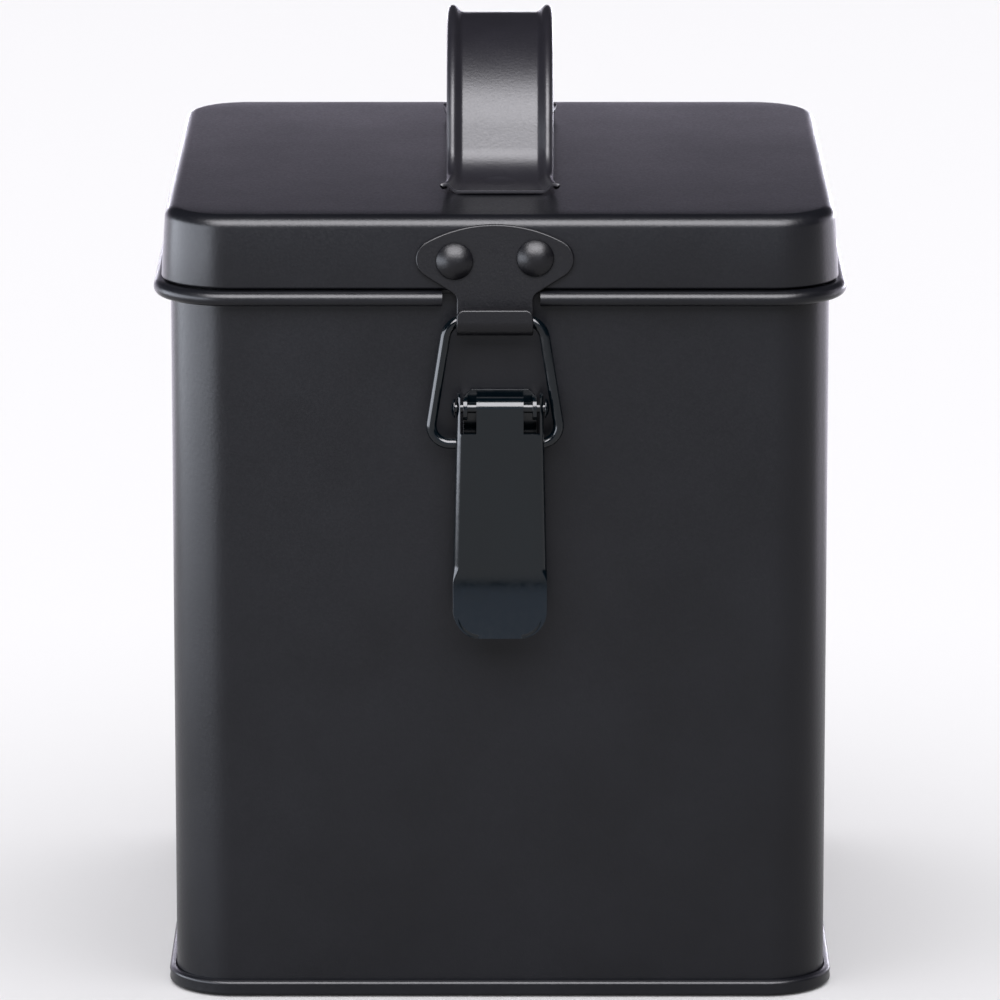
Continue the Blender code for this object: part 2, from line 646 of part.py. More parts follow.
def build_latch_lever():
    """The lever: a channel whose tongue is rolled round the pin, with a kicked-out finger tab."""
    roll_r = PIN_R + GAP + LEVER_T / 2
    face_y = PIN_Y - roll_r
    path = arc((PIN_Y, PIN_Z), roll_r, -100.0, 180.0, 12)
    path.append((face_y, LEVER_BEND_Z + 2.0 * MM))
    path += [(face_y - 0.35 * MM, LEVER_BEND_Z - 1.0 * MM)]
    path += [(face_y - 0.6 * TAB_OUT, LEVER_BEND_Z - 5.0 * MM), (face_y - TAB_OUT, LEVER_LOW_Z)]
    lever = side_profile(thicken(path, LEVER_T), 0, 4 * LEVER_LOW_HALF)
    right = [(TONGUE_HALF, PIN_Z + 4.0 * MM), (TONGUE_HALF, SLOT_LOW_Z)]
    right += [(lever_half(SLOT_LOW_Z), SLOT_LOW_Z), (LEVER_LOW_HALF, LEVER_BEND_Z)]
    corner = (LEVER_LOW_HALF - TAB_CORNER_R, LEVER_LOW_Z + TAB_CORNER_R)
    right += arc(corner, TAB_CORNER_R, 0.0, -75.0, 5)
    right.append((0, LEVER_LOW_Z))
    outline = right + [(-x, z) for x, z in right[-2::-1]]
    boolean(lever, front_profile(outline, 0, PIN_Y, TOOL_LENGTH), "INTERSECT")
    front = face_y - LEVER_T / 2
    back = front + LEVER_DEPTH
    for side in (-1, 1):
        cheek = [(front, PIN_Z), (front, LEVER_BEND_Z + 1.0 * MM), (back, LEVER_BEND_Z + 6.0 * MM)]
        cheek += arc((PIN_Y, PIN_Z), FLANGE_EAR_R, 0.0, 135.0, 8)
        flange = side_profile(cheek, side * (LEVER_TOP_HALF - LEVER_T / 2), LEVER_T)
        widen_down(flange, side)
        boolean(lever, flange, "UNION")
    for side in (-1, 1):
        x = side * LEVER_TOP_HALF
        boolean(lever, pin_hole(PIN_Y, PIN_Z, PIN_R + GAP, x, HOLE_LENGTH), "DIFFERENCE")
    bail_y = PIN_Y + BAIL_BACK
    hole = pin_hole(bail_y, BAIL_LOW_Z, BAIL_R + GAP, 0, 4 * LEVER_LOW_HALF)
    boolean(lever, hole, "DIFFERENCE")
    return finish_part(smooth(lever), "latch_lever", GLOSS_BLACK, 0.3)


def widen_down(obj, side):
    """Lean a side flange outwards so that it follows the lever's edge."""
    place = obj.matrix_world.copy()
    back = place.inverted()
    for vert in obj.data.vertices:
        spot = place @ vert.co
        spot.x += side * (lever_half(spot.z) - LEVER_TOP_HALF)
        vert.co = back @ spot


def build_bail_wire():
    """The bail: one wire bent into a loop with rounded corners, open only at a butt joint."""
    corners = [(-BAIL_TOP_HALF, BAIL_TOP_Z), (BAIL_TOP_HALF, BAIL_TOP_Z),
               (BAIL_LOW_HALF, BAIL_LOW_Z), (-BAIL_LOW_HALF, BAIL_LOW_Z)]
    bends = (BAIL_TOP_BEND, BAIL_TOP_BEND, BAIL_LOW_BEND, BAIL_LOW_BEND)
    outline = rounded_loop(corners, bends, 6)
    curve = bpy.data.curves.new("bail_wire", "CURVE")
    curve.dimensions = "3D"
    curve.bevel_depth = BAIL_R
    curve.bevel_resolution = 2
    spline = curve.splines.new("POLY")
    spline.points.add(len(outline) - 1)
    for point, (x, z) in zip(spline.points, outline):
        point.co = (x, 0, z - BAIL_LOW_Z, 1.0)
    spline.use_cyclic_u = True
    wire = bpy.data.objects.new("bail_wire", curve)
    parts.objects.link(wire)
    wire.location = (CATCH_X, PIN_Y + BAIL_BACK, BAIL_LOW_Z)
    return finish_part(smooth(curve_to_mesh(wire)), "bail_wire", GLOSS_BLACK, 0.25)


# ---- the rear hinges -------------------------------------------------------------------------
def build_hinge(name, x):
    """A leaf hinge: the body leaf has the two outer knuckles, the lid leaf the middle one."""
    roll_r = HINGE_PIN_R + GAP + HINGE_T / 2
    rise_y = HINGE_Y - roll_r
    wall_y = REAR_Y + GAP + HINGE_T / 2
    clear = KNUCKLE_R + KNUCKLE_CLEAR
    far = 2 * KNUCKLE_R

    low_path = [(wall_y, LEAF_LOW_Z), (wall_y, HINGE_Z - 4.8 * MM), (rise_y, HINGE_Z - 2.2 * MM)]
    low_path += arc((HINGE_Y, HINGE_Z), roll_r, 180.0, -110.0, 12)
    body_leaf = side_profile(thicken(low_path, HINGE_T), x, 2 * HINGE_HALF)
    half = KNUCKLE_HALF + GAP
    gap_tool = box_tool((x - half, REAR_Y + GAP, HINGE_Z - clear),
                        (x + half, HINGE_Y + far, HINGE_Z + far))
    boolean(body_leaf, gap_tool, "DIFFERENCE")

    lean_y = (LEAF_HIGH_Z - HINGE_Z - clear) * math.tan(LID_DRAFT)
    high_path = [(rise_y - lean_y, LEAF_HIGH_Z), (rise_y, HINGE_Z + clear)]
    high_path += arc((HINGE_Y, HINGE_Z), roll_r, 180.0, 470.0, 12)
    lid_leaf = side_profile(thicken(high_path, HINGE_T), x, 2 * HINGE_HALF)
    for side in (-1, 1):
        inner = x + side * KNUCKLE_HALF
        outer = x + side * (HINGE_HALF + far)
        low = (min(inner, outer), REAR_Y, HINGE_Z - far)
        high = (max(inner, outer), HINGE_Y + far, HINGE_Z + clear)
        boolean(lid_leaf, box_tool(low, high), "DIFFERENCE")

    head_y = REAR_Y + 2 * GAP + HINGE_T
    spots = (("inner", -1), ("outer", 1))
    for word, side in spots:
        rivet_x = x + math.copysign(1.0, x) * side * LEAF_RIVET_X
        low_hole = rivet_hole(rivet_x, wall_y, LEAF_RIVET_LOW_Z)
        boolean(body_leaf, low_hole, "DIFFERENCE")
        high_hole = rivet_hole(rivet_x, rise_y, LEAF_RIVET_HIGH_Z)
        boolean(lid_leaf, high_hole, "DIFFERENCE")
        low_name = name + "_body_rivet_" + word
        stud = rivet(low_name, rivet_x, head_y, LEAF_RIVET_LOW_Z, 1, HINGE_RIVET)
        finish_part(stud, low_name)
        high_name = name + "_lid_rivet_" + word
        high_y = head_y + LID_OUT_LOW
        stud = rivet(high_name, rivet_x, high_y, LEAF_RIVET_HIGH_Z, 1, HINGE_RIVET)
        lean_with_lid(stud, 1)
        finish_part(stud, high_name)
    finish_part(smooth(body_leaf), name + "_body_leaf")
    finish_part(smooth(lid_leaf), name + "_lid_leaf")
    pin = headed_pin(name + "_pin", HINGE_Y, HINGE_Z, x, HINGE_HALF + GAP, HINGE_PIN_R,
                     HINGE_HEAD_R, HINGE_HEAD_H)
    finish_part(pin, name + "_pin", BLACK, 0.4)


# ---- joints ----------------------------------------------------------------------------------
def joint_axis(name, y, z, parent=None):
    """An empty on a joint's axis, which runs along X."""
    empty = bpy.data.objects.new(name, None)
    parts.objects.link(empty)
    empty.empty_display_size = 10 * MM
    empty.location = (0, y, z)
    if parent:
        attach(empty, parent)
    return empty


def hang_on_joints():
    lid_axis = joint_axis("lid_hinge_axis", HINGE_Y, HINGE_Z)
    lever_axis = joint_axis("lever_axis", PIN_Y, PIN_Z)
    bail_axis = joint_axis("bail_axis", PIN_Y + BAIL_BACK, BAIL_LOW_Z, lever_axis)
    for obj in list(parts.objects):
        if obj.type != "MESH":
            continue
        if obj.name.startswith(("lid_", "handle_", "catch_")) or "_lid_" in obj.name:
            attach(obj, lid_axis)
        elif obj.name == "latch_lever":
            attach(obj, lever_axis)
        elif obj.name == "bail_wire":
            attach(obj, bail_axis)


def main():
    clear_scene()
    build_body_shell()
    build_rim_collar()
    build_base_panel()
    build_lid_shell()
    build_handle_strap()
    build_catch_plate()
    build_catch_rivets()
    build_latch_base()
    build_lever_pin()
    build_latch_rivets()
    build_latch_lever()
    build_bail_wire()
    build_hinge("hinge_left", -HINGE_X)
    build_hinge("hinge_right", HINGE_X)
    hang_on_joints()


main()
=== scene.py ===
"""Looks of the metal lunch box: finished sheet-metal pieces, coats of paint, studio and camera.

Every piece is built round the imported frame, in metres and in the frame's own axes: +Z up, -Y towards
the front with the latch, +X to the right when the latch is looked at.
"""

import json
import math

import bmesh
import bpy
from mathutils import Matrix, Vector


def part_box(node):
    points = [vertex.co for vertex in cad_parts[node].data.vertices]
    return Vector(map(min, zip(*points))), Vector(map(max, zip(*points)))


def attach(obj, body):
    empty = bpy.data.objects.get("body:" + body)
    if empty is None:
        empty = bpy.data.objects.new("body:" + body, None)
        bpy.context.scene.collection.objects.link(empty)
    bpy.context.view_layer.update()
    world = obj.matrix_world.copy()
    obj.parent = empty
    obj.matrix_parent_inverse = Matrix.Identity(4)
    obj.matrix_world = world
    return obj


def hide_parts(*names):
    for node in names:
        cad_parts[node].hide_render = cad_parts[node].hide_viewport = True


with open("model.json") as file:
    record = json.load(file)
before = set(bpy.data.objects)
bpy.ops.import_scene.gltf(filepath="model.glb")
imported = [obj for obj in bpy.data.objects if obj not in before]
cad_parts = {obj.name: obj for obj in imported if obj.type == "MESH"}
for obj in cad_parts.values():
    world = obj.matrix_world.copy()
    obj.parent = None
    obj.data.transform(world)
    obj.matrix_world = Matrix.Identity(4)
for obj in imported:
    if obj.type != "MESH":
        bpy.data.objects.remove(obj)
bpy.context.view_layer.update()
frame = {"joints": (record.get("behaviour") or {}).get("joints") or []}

MM = 0.001

# ---- sizes that the boxes of the frame's nodes don't give --------------------------------------
SHEET = 0.5 * MM
PLATE = 0.8 * MM
GAP = 0.3 * MM
CORNER_R = 12.0 * MM
RIM_OUT = 3.4 * MM
RIM_R = 1.5 * MM
RIM_SHOULDER_R = 0.6 * MM
SEAM_BEND = 0.8 * MM
LID_OUT_LOW = 1.8 * MM
LID_OUT_HIGH = 1.1 * MM
LID_EDGE_R = 2.6 * MM
LID_CROWN = 0.08 * MM        # how much lower the lid's top is at its edges than in the middle
HEM_R = 0.55 * MM
HEM_H = 3.2 * MM
HANDLE_SHEET = 0.6 * MM
HANDLE_TAB = 9.5 * MM
HANDLE_FOOT_R = 8.6 * MM
HANDLE_ARCH_R = 29.0 * MM
HANDLE_SLOPE = 69.0
HANDLE_BEAD_INNER = 2.15 * MM  # from the foot of an edge bead's inner slope to its crest
HANDLE_BEAD_OUTER = 1.25 * MM  # from the crest to the strap's edge
HANDLE_BEAD_H = 1.45 * MM
HANDLE_FLARE = 1.2 * MM
HANDLE_FLARE_LENGTH = 11.0 * MM
WELD_FROM_TIP = 8.8 * MM
WELD_R = 3.7 * MM
WELD_RING_H = 0.10 * MM
WELD_DEPTH = 0.13 * MM
CORNER_STEPS = 20
EDGE_BEVEL = 0.14 * MM       # broken edge of every stamped plate

# ---- places read from the frame ----------------------------------------------------------------
wall_low, wall_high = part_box("body_shell")
lid_low, lid_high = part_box("lid_shell")
seam_low, seam_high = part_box("base_panel")
handle_low, handle_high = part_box("handle_strap")
catch_low, catch_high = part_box("catch_plate")
joints = {joint["name"]: Vector(joint["pos_m"]) for joint in frame["joints"]}
lid_axis = joints["lid_hinge"]
lever_axis = joints["lever_hinge"]
bail_axis = joints["bail_hinge"]

BOX_Y = (wall_low.y + wall_high.y) / 2
WALL_HALF = (wall_high.x - wall_low.x) / 2 - RIM_OUT
FRONT_Y = BOX_Y - WALL_HALF
REAR_Y = BOX_Y + WALL_HALF
RIM_TOP = wall_high.z
SEAM_OUT = (seam_high.x - seam_low.x) / 2 - WALL_HALF
SEAM_TOP = seam_high.z
LID_TOP = lid_high.z
LID_LOW = lid_low.z
LID_SIDE_TOP = LID_TOP - LID_EDGE_R
LID_DRAFT = math.atan2(LID_OUT_LOW - LID_OUT_HIGH, LID_SIDE_TOP - LID_LOW)
CATCH_X = (catch_low.x + catch_high.x) / 2
HANDLE_Y = (handle_low.y + handle_high.y) / 2
LEVER_T = PLATE


# ---- mesh helpers ------------------------------------------------------------------------------
def link(name, mesh):
    obj = bpy.data.objects.new(name, mesh)
    bpy.context.scene.collection.objects.link(obj)
    return obj


def mesh_object(bm, name):
    bmesh.ops.recalc_face_normals(bm, faces=bm.faces)
    mesh = bpy.data.meshes.new(name)
    bm.to_mesh(mesh)
    bm.free()
    return link(name, mesh)


def settle(obj):
    """Apply the modifiers and the place of an object, so that its mesh is final and in the frame."""
    bpy.context.view_layer.update()
    evaluated = obj.evaluated_get(bpy.context.evaluated_depsgraph_get())
    mesh = bpy.data.meshes.new_from_object(evaluated)
    mesh.transform(obj.matrix_world)
    name = obj.name
    bpy.data.objects.remove(obj, do_unlink=True)
    mesh.name = name
    return link(name, mesh)


def smooth(obj, angle=40.0):
    obj.data.shade_smooth()
    obj.data.set_sharp_from_angle(angle=math.radians(angle))
    return obj


def soften(obj, width=EDGE_BEVEL, segments=3, angle=35.0):
    """Break the sharp edges of a finished solid, and keep its flat faces flat in the light."""
    obj.data.shade_smooth()
    bevel = obj.modifiers.new("broken_edges", "BEVEL")
    bevel.width = width
    bevel.segments = segments
    bevel.limit_method = "ANGLE"
    bevel.angle_limit = math.radians(angle)
    flats = obj.modifiers.new("flat_faces", "WEIGHTED_NORMAL")
    flats.weight = 80
    return settle(obj)


def solidify(obj, thickness, offset=-1.0):
    sheet = obj.modifiers.new("sheet", "SOLIDIFY")
    sheet.thickness = thickness
    sheet.offset = offset
    sheet.use_even_offset = True
    return obj


def cut(obj, tool, operation="DIFFERENCE"):
    """A Boolean with one tool, which is used up."""
    modifier = obj.modifiers.new("cut", "BOOLEAN")
    modifier.operation = operation
    modifier.solver = "EXACT"
    modifier.object = tool
    result = settle(obj)
    bpy.data.objects.remove(tool, do_unlink=True)
    return result


def box_tool(low, high):
    bm = bmesh.new()
    bmesh.ops.create_cube(bm, size=1.0)
    for vert in bm.verts:
        vert.co = [a + (b - a) * (c + 0.5) for a, b, c in zip(low, high, vert.co)]
    return mesh_object(bm, "tool")


def bar_tool(y, z, radius, x_low, x_high):
    """A round bar along X."""
    bm = bmesh.new()
    turn = Matrix.Translation(((x_low + x_high) / 2, y, z)) @ Matrix.Rotation(math.pi / 2, 4, "Y")
    bmesh.ops.create_cone(bm, cap_ends=True, segments=48, radius1=radius, radius2=radius,
                          depth=x_high - x_low, matrix=turn)
    return mesh_object(bm, "tool")


def arc(centre, radius, start, end, steps):
    turns = [math.radians(start + (end - start) * i / steps) for i in range(steps + 1)]
    return [(centre[0] + radius * math.cos(a), centre[1] + radius * math.sin(a)) for a in turns]


def thicken(path, thickness):
    """The closed outline of a folded strip that follows an open path down its middle."""
    sides = ([], [])
    last = len(path) - 1
    for i, (px, py) in enumerate(path):
        before = path[max(i - 1, 0)]
        after = path[min(i + 1, last)]
        into = math.atan2(py - before[1], px - before[0]) if i else None
        out = math.atan2(after[1] - py, after[0] - px) if i < last else None
        into = out if into is None else into
        out = into if out is None else out
        half_turn = math.remainder(out - into, 2 * math.pi) / 2
        normal = into + half_turn + math.pi / 2
        reach = thickness / 2 / math.cos(half_turn)
        for side, sign in zip(sides, (1, -1)):
            side.append((px + sign * reach * math.cos(normal), py + sign * reach * math.sin(normal)))
    return sides[0] + sides[1][::-1]


def prism(outline, low, high, place):
    """A closed outline drawn out between two distances; place turns (u, v, distance) to a point."""
    bm = bmesh.new()
    near = [bm.verts.new(place(u, v, low)) for u, v in outline]
    far = [bm.verts.new(place(u, v, high)) for u, v in outline]
    bm.faces.new(near)
    bm.faces.new(far[::-1])
    for i in range(len(outline)):
        j = (i + 1) % len(outline)
        bm.faces.new((near[j], near[i], far[i], far[j]))
    return mesh_object(bm, "prism")


def side_prism(outline, x_low, x_high):
    """An outline in (Y, Z), drawn out along X."""
    return prism(outline, x_low, x_high, lambda y, z, x: (x, y, z))


def front_prism(outline, y_low, y_high):
    """An outline in (X, Z), drawn out along Y."""
    return prism(outline, y_low, y_high, lambda x, z, y: (x, y, z))


def loft(name, rows, closed_rows=False, cap_first=False, cap_last=False):
    """Join rows of points, each as long as the next, into one skin."""
    bm = bmesh.new()
    verts = [[bm.verts.new(point) for point in row] for row in rows]
    count = len(rows[0])
    for near, far in zip(verts, verts[1:]):
        for i in range(count if closed_rows else count - 1):
            j = (i + 1) % count
            bm.faces.new((near[i], near[j], far[j], far[i]))
    if cap_first:
        bm.faces.new(verts[0][::-1])
    if cap_last:
        bm.faces.new(verts[-1])
    mesh = bpy.data.meshes.new(name)
    bm.to_mesh(mesh)
    bm.free()
    return link(name, mesh)


def turned(name, profile, steps=64):
    """A turned solid about Z, from a profile of (radius, height), top to bottom."""
    bm = bmesh.new()
    rings = []
    for radius, height in profile:
        if radius < 1e-7:
            rings.append([bm.verts.new((0, 0, height))])
            continue
        turns = [2 * math.pi * i / steps for i in range(steps)]
        rings.append([bm.verts.new((radius * math.cos(a), radius * math.sin(a), height))
                      for a in turns])
    for upper, lower in zip(rings, rings[1:]):
        for i in range(steps):
            j = (i + 1) % steps
            corners = [upper[i % len(upper)], upper[j % len(upper)],
                       lower[j % len(lower)], lower[i % len(lower)]]
            bm.faces.new(list(dict.fromkeys(corners)))
    return mesh_object(bm, name)


def place(obj, matrix):
    obj.data.transform(matrix)
    obj.data.update()
    return obj


def wall_ring(out, z, least_r=1.5 * MM):
    """A rounded square round the box, standing out from the wall by a distance."""
    half = WALL_HALF + out
    radius = max(CORNER_R + out, least_r)
    ring = []
    for quarter in range(4):
        start = 90.0 * quarter - 90.0
        middle = math.radians(start + 45.0)
        reach = (half - radius) * math.sqrt(2)
        centre = (reach * math.cos(middle), BOX_Y + reach * math.sin(middle))
        ring += [(x, y, z) for x, y in arc(centre, radius, start, start + 90.0, CORNER_STEPS)]
    return ring


def sheet_round_box(name, profile, cap_first=False, cap_last=False):
    """Sheet metal bent round the box; the profile of (outward distance, height) is its outer face."""
    rows = [wall_ring(out, z) for out, z in profile]
    skin = loft(name, rows, True, cap_first, cap_last)
    return smooth(settle(solidify(skin, SHEET)))


def lean_with_lid(side):
    """The turn about the skirt's lower edge that lays a piece along the flared skirt."""
    pivot = Vector((0, BOX_Y + side * (WALL_HALF + LID_OUT_LOW), LID_LOW))
    turn = Matrix.Rotation(side * LID_DRAFT, 4, "X")
    return Matrix.Translation(pivot) @ turn @ Matrix.Translation(-pivot)


# ---- coats of paint; the handle's coat carries painted light, the catch's painted shade --------
def coat(name, colour, roughness, specular, grain, grain_depth, wave_depth=0.0, tint=0.12):
    """Paint on metal. The grain is the orange peel of the dried coat, with its size and depth in
    metres; the waves are the long, shallow unevenness of the sheet under it; the tint is the share
    by which the colour drifts over the piece."""
    material = bpy.data.materials.new(name)
    material.use_nodes = True
    nodes = material.node_tree.nodes
    links = material.node_tree.links
    shader = nodes["Principled BSDF"]
    shader.inputs["Metallic"].default_value = 0.0
    shader.inputs["Specular IOR Level"].default_value = specular
    coords = nodes.new("ShaderNodeTexCoord").outputs["Object"]

    def noise(size, detail, rough=0.5):
        node = nodes.new("ShaderNodeTexNoise")
        node.inputs["Scale"].default_value = 1.0 / size
        node.inputs["Detail"].default_value = detail
        node.inputs["Roughness"].default_value = rough
        links.new(coords, node.inputs["Vector"])
        return node.outputs["Fac"]

    def spread(value, low, high):
        node = nodes.new("ShaderNodeMapRange")
        node.inputs["From Min"].default_value = 0.3
        node.inputs["From Max"].default_value = 0.7
        node.inputs["To Min"].default_value = low
        node.inputs["To Max"].default_value = high
        links.new(value, node.inputs["Value"])
        return node.outputs["Result"]

    peel = noise(grain, 2.0)
    clouds = noise(18 * MM, 3.0)
    mix = nodes.new("ShaderNodeMix")
    mix.data_type = "RGBA"
    mix.inputs["A"].default_value = (*[c * (1 - tint) for c in colour], 1.0)
    mix.inputs["B"].default_value = (*[c * (1 + tint) for c in colour], 1.0)
    links.new(spread(clouds, 0.0, 1.0), mix.inputs["Factor"])
    links.new(mix.outputs["Result"], shader.inputs["Base Color"])

    speckle = noise(grain * 0.6, 1.0)
    uneven = nodes.new("ShaderNodeMath")
    uneven.operation = "ADD"
    links.new(spread(speckle, roughness - 0.035, roughness + 0.035), uneven.inputs[0])
    links.new(spread(clouds, -0.015, 0.015), uneven.inputs[1])
    links.new(uneven.outputs["Value"], shader.inputs["Roughness"])

    bump = nodes.new("ShaderNodeBump")
    bump.inputs["Strength"].default_value = 1.0
    bump.inputs["Distance"].default_value = grain_depth
    links.new(peel, bump.inputs["Height"])
    if wave_depth:
        waves = nodes.new("ShaderNodeBump")
        waves.inputs["Strength"].default_value = 1.0
        waves.inputs["Distance"].default_value = wave_depth
        links.new(noise(30 * MM, 1.0), waves.inputs["Height"])
        links.new(waves.outputs["Normal"], bump.inputs["Normal"])
    links.new(bump.outputs["Normal"], shader.inputs["Normal"])
    return material


SATIN = coat("satin_black_coat", (0.0015, 0.0016, 0.0022), 0.34, 0.21, 0.7 * MM, 0.02 * MM, 0.02 * MM)
# The handle's coat has a lighter base colour than the box's coat: painted light, which brightens the
# strap that the studio lights leave too dark.
HANDLE_LIT_COAT = coat("handle_black_coat_painted_light", (0.0036, 0.0034, 0.0046), 0.40, 0.31, 0.55 * MM, 0.03 * MM)
# The catch's coat has a darker base colour than the box's coat: painted shade, which dims the catch
# against the reflection it picks up as it leans with the skirt.
CATCH_SHADED_COAT = coat("catch_black_coat_painted_shade", (0.0008, 0.0008, 0.0012), 0.36, 0.21, 0.5 * MM, 0.02 * MM)
INSIDE = coat("inside_black_coat", (0.0028, 0.0028, 0.0032), 0.40, 0.26, 0.8 * MM, 0.02 * MM)
ENAMEL = coat("latch_gloss_enamel", (0.0002, 0.0008, 0.0013), 0.15, 0.31, 2.2 * MM, 0.006 * MM)
HINGE_COAT = coat("hinge_black_coat", (0.0017, 0.0017, 0.0022), 0.34, 0.25, 0.6 * MM, 0.02 * MM)


def finish(obj, body, material, slot, *nodes):
    """Paint a piece, hang it on its body and hide the frame's nodes that it stands for."""
    obj.data.materials.clear()
    obj.data.materials.append(material)
    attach(obj, body)
    if nodes:
        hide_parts(*nodes)
    return obj


# ---- the box -----------------------------------------------------------------------------------
NOTCH_X = CATCH_X - 0.7 * MM
NOTCH_HALF = 9.6 * MM
HINGE_X = 35.0 * MM
HINGE_HALF = 10.0 * MM
HINGE_NOTCH = HINGE_HALF + 1.1 * MM


def build_wall():
    under_rim = RIM_TOP - SHEET
    curl = (RIM_OUT - RIM_R, RIM_TOP - RIM_R)
    profile = [(0, SHEET + GAP), (0, 3 * MM), (0, under_rim - 3 * RIM_SHOULDER_R)]
    profile += arc((RIM_SHOULDER_R, under_rim - RIM_SHOULDER_R), RIM_SHOULDER_R, 180.0, 90.0, 6)
    profile += arc(curl, RIM_R - SHEET, 90.0, -150.0, 22)
    wall = sheet_round_box("box_wall", profile)
    low = RIM_TOP - 2 * RIM_R - GAP
    high = RIM_TOP + GAP
    notches = [(NOTCH_X, NOTCH_HALF, FRONT_Y - 3 * RIM_OUT, FRONT_Y - GAP / 2)]
    for side in (-1, 1):
        notches.append((side * HINGE_X, HINGE_NOTCH, REAR_Y + GAP / 2, REAR_Y + 3 * RIM_OUT))
    for x, half, y_low, y_high in notches:
        wall = cut(wall, box_tool((x - half, y_low, low), (x + half, y_high, high)))
    finish(smooth(wall), "box", SATIN, "body_coat", "body_shell")


def build_lock_seam():
    """The folded upright seam that closes the wrapped wall, in the middle of the rear."""
    half = 2.6 * MM
    depth = 0.75 * MM
    bend = 0.35 * MM
    outline = [(-half, 0.0)]
    outline += arc((-half + bend, depth - bend), bend, 180.0, 90.0, 5)
    outline += arc((half - bend, depth - bend), bend, 90.0, 0.0, 5)
    outline.append((half, 0.0))
    low = SEAM_TOP + 0.2 * MM
    high = RIM_TOP - 2 * RIM_R - 1.2 * MM
    rows = []
    for z, share in ((low, 0.7), (low + 0.5 * MM, 1.0), (low + 1.0 * MM, 1.0),
                     (high - 2.0 * MM, 1.0), (high - 1.5 * MM, 1.0), (high, 0.25)):
        rows.append([(x, REAR_Y - 0.05 * MM + y * share, z) for x, y in outline])
    seam = loft("wall_lock_seam", rows, True, True, True)
    bm = bmesh.new()
    bm.from_mesh(seam.data)
    bmesh.ops.recalc_face_normals(bm, faces=bm.faces)
    bm.to_mesh(seam.data)
    bm.free()
    finish(smooth(seam, 50.0), "box", SATIN, "body_coat")


def build_collar():
    low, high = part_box("rim_collar")
    out = -SHEET - GAP
    lead = 1.2 * MM
    profile = [(out, low.z), (out, high.z - lead)]
    profile += [(out - 0.12 * MM, high.z - 0.5 * lead), (out - 0.5 * MM, high.z)]
    finish(sheet_round_box("rim_guide", profile), "box", INSIDE, "inner_coat", "rim_collar")


def build_bottom():
    """The base panel: folded round the wall's foot, set up inside, with a stamped ring."""
    inner = -SHEET - GAP - SHEET
    bend = SEAM_BEND
    panel_z = SEAM_TOP - 0.4 * MM
    middle = -46 * MM
    ring_out = -17 * MM
    ring_half = 3.6 * MM
    ring_h = 0.35 * MM
    profile = [(middle, panel_z)]
    for i in range(9):
        turn = math.pi * i / 8
        profile.append((ring_out + ring_half * (i / 4 - 1), panel_z + ring_h * math.sin(turn)))
    profile.append((inner - 3 * MM, panel_z))
    profile += arc((inner - bend, panel_z - bend), bend, 90.0, 0.0, 6)
    profile += arc((inner + bend, bend), bend, 180.0, 270.0, 6)
    profile += arc((SEAM_OUT - bend, bend), bend, -90.0, 0.0, 8)
    profile.append((SEAM_OUT - 0.12 * MM, SEAM_TOP / 2))
    profile += arc((SEAM_OUT - bend, SEAM_TOP - bend), bend, 0.0, 90.0, 8)
    profile.append((GAP, SEAM_TOP))
    bottom = sheet_round_box("box_bottom", profile, cap_first=True)
    finish(bottom, "box", SATIN, "body_coat", "base_panel")


# ---- the lid -----------------------------------------------------------------------------------
def build_lid():
    hem_out = LID_OUT_LOW - HEM_R
    profile = [(hem_out - HEM_R, LID_LOW + HEM_H)]
    profile += arc((hem_out, LID_LOW + HEM_R), HEM_R, 180.0, 360.0, 10)
    start = LID_OUT_HIGH - LID_EDGE_R
    top = arc((start, LID_SIDE_TOP), LID_EDGE_R, 0.0, 90.0, 12)
    innermost = 3 * MM - WALL_HALF
    steps = 13
    for i in range(1, steps + 1):
        top.append((start + (innermost - start) * i / steps, LID_TOP))
    for out, z in top:
        reach = (WALL_HALF + out) / WALL_HALF
        top_share = (z - LID_SIDE_TOP) / LID_EDGE_R
        profile.append((out, z - LID_CROWN * top_share * reach ** 2))
    lid = sheet_round_box("lid_cover", profile, cap_last=True)
    finish(lid, "lid", SATIN, "body_coat", "lid_shell")


def handle_path():
    """Half of the handle's side view, from the tip of a foot to the top of the arch, as
    (distance from the middle, height, slope in degrees, way along the strap from the tip)."""
    rise = handle_high.z - LID_TOP - HANDLE_BEAD_H
    slope = math.radians(HANDLE_SLOPE)
    foot_h = GAP + HANDLE_SHEET
    bend_h = foot_h + HANDLE_FOOT_R * (1 - math.cos(slope))
    arch_h = rise - HANDLE_ARCH_R * (1 - math.cos(slope))
    arch_y = HANDLE_ARCH_R * math.sin(slope)
    leg_y = arch_y + (arch_h - bend_h) / math.tan(slope)
    heel_y = leg_y + HANDLE_FOOT_R * math.sin(slope)
    stations = [(heel_y + HANDLE_TAB * (1 - i / 32), foot_h, 0.0) for i in range(32)]
    for i in range(33):
        turn = slope * i / 32
        y = heel_y - HANDLE_FOOT_R * math.sin(turn)
        stations.append((y, foot_h + HANDLE_FOOT_R * (1 - math.cos(turn)), math.degrees(turn)))
    for i in range(41):
        turn = slope * (1 - i / 40)
        y = HANDLE_ARCH_R * math.sin(turn)
        stations.append((y, rise - HANDLE_ARCH_R * (1 - math.cos(turn)), math.degrees(turn)))
    way = 0.0
    path = []
    for i, (y, height, turn) in enumerate(stations):
        if i:
            way += math.hypot(y - stations[i - 1][0], height - stations[i - 1][1])
        path.append((y, height, turn, way))
    return path


def weld_dent(x, way):
    """The mark of the spot weld on a foot: a shallow round dent with a slightly raised ring."""
    reach = math.hypot(x, way - WELD_FROM_TIP) / WELD_R
    if reach > 1.3:
        return 0.0
    ring = WELD_RING_H * math.exp(-((reach - 1.0) / 0.13) ** 2)
    dent = WELD_DEPTH / (1 + math.exp((reach - 0.82) / 0.06))
    return ring - dent


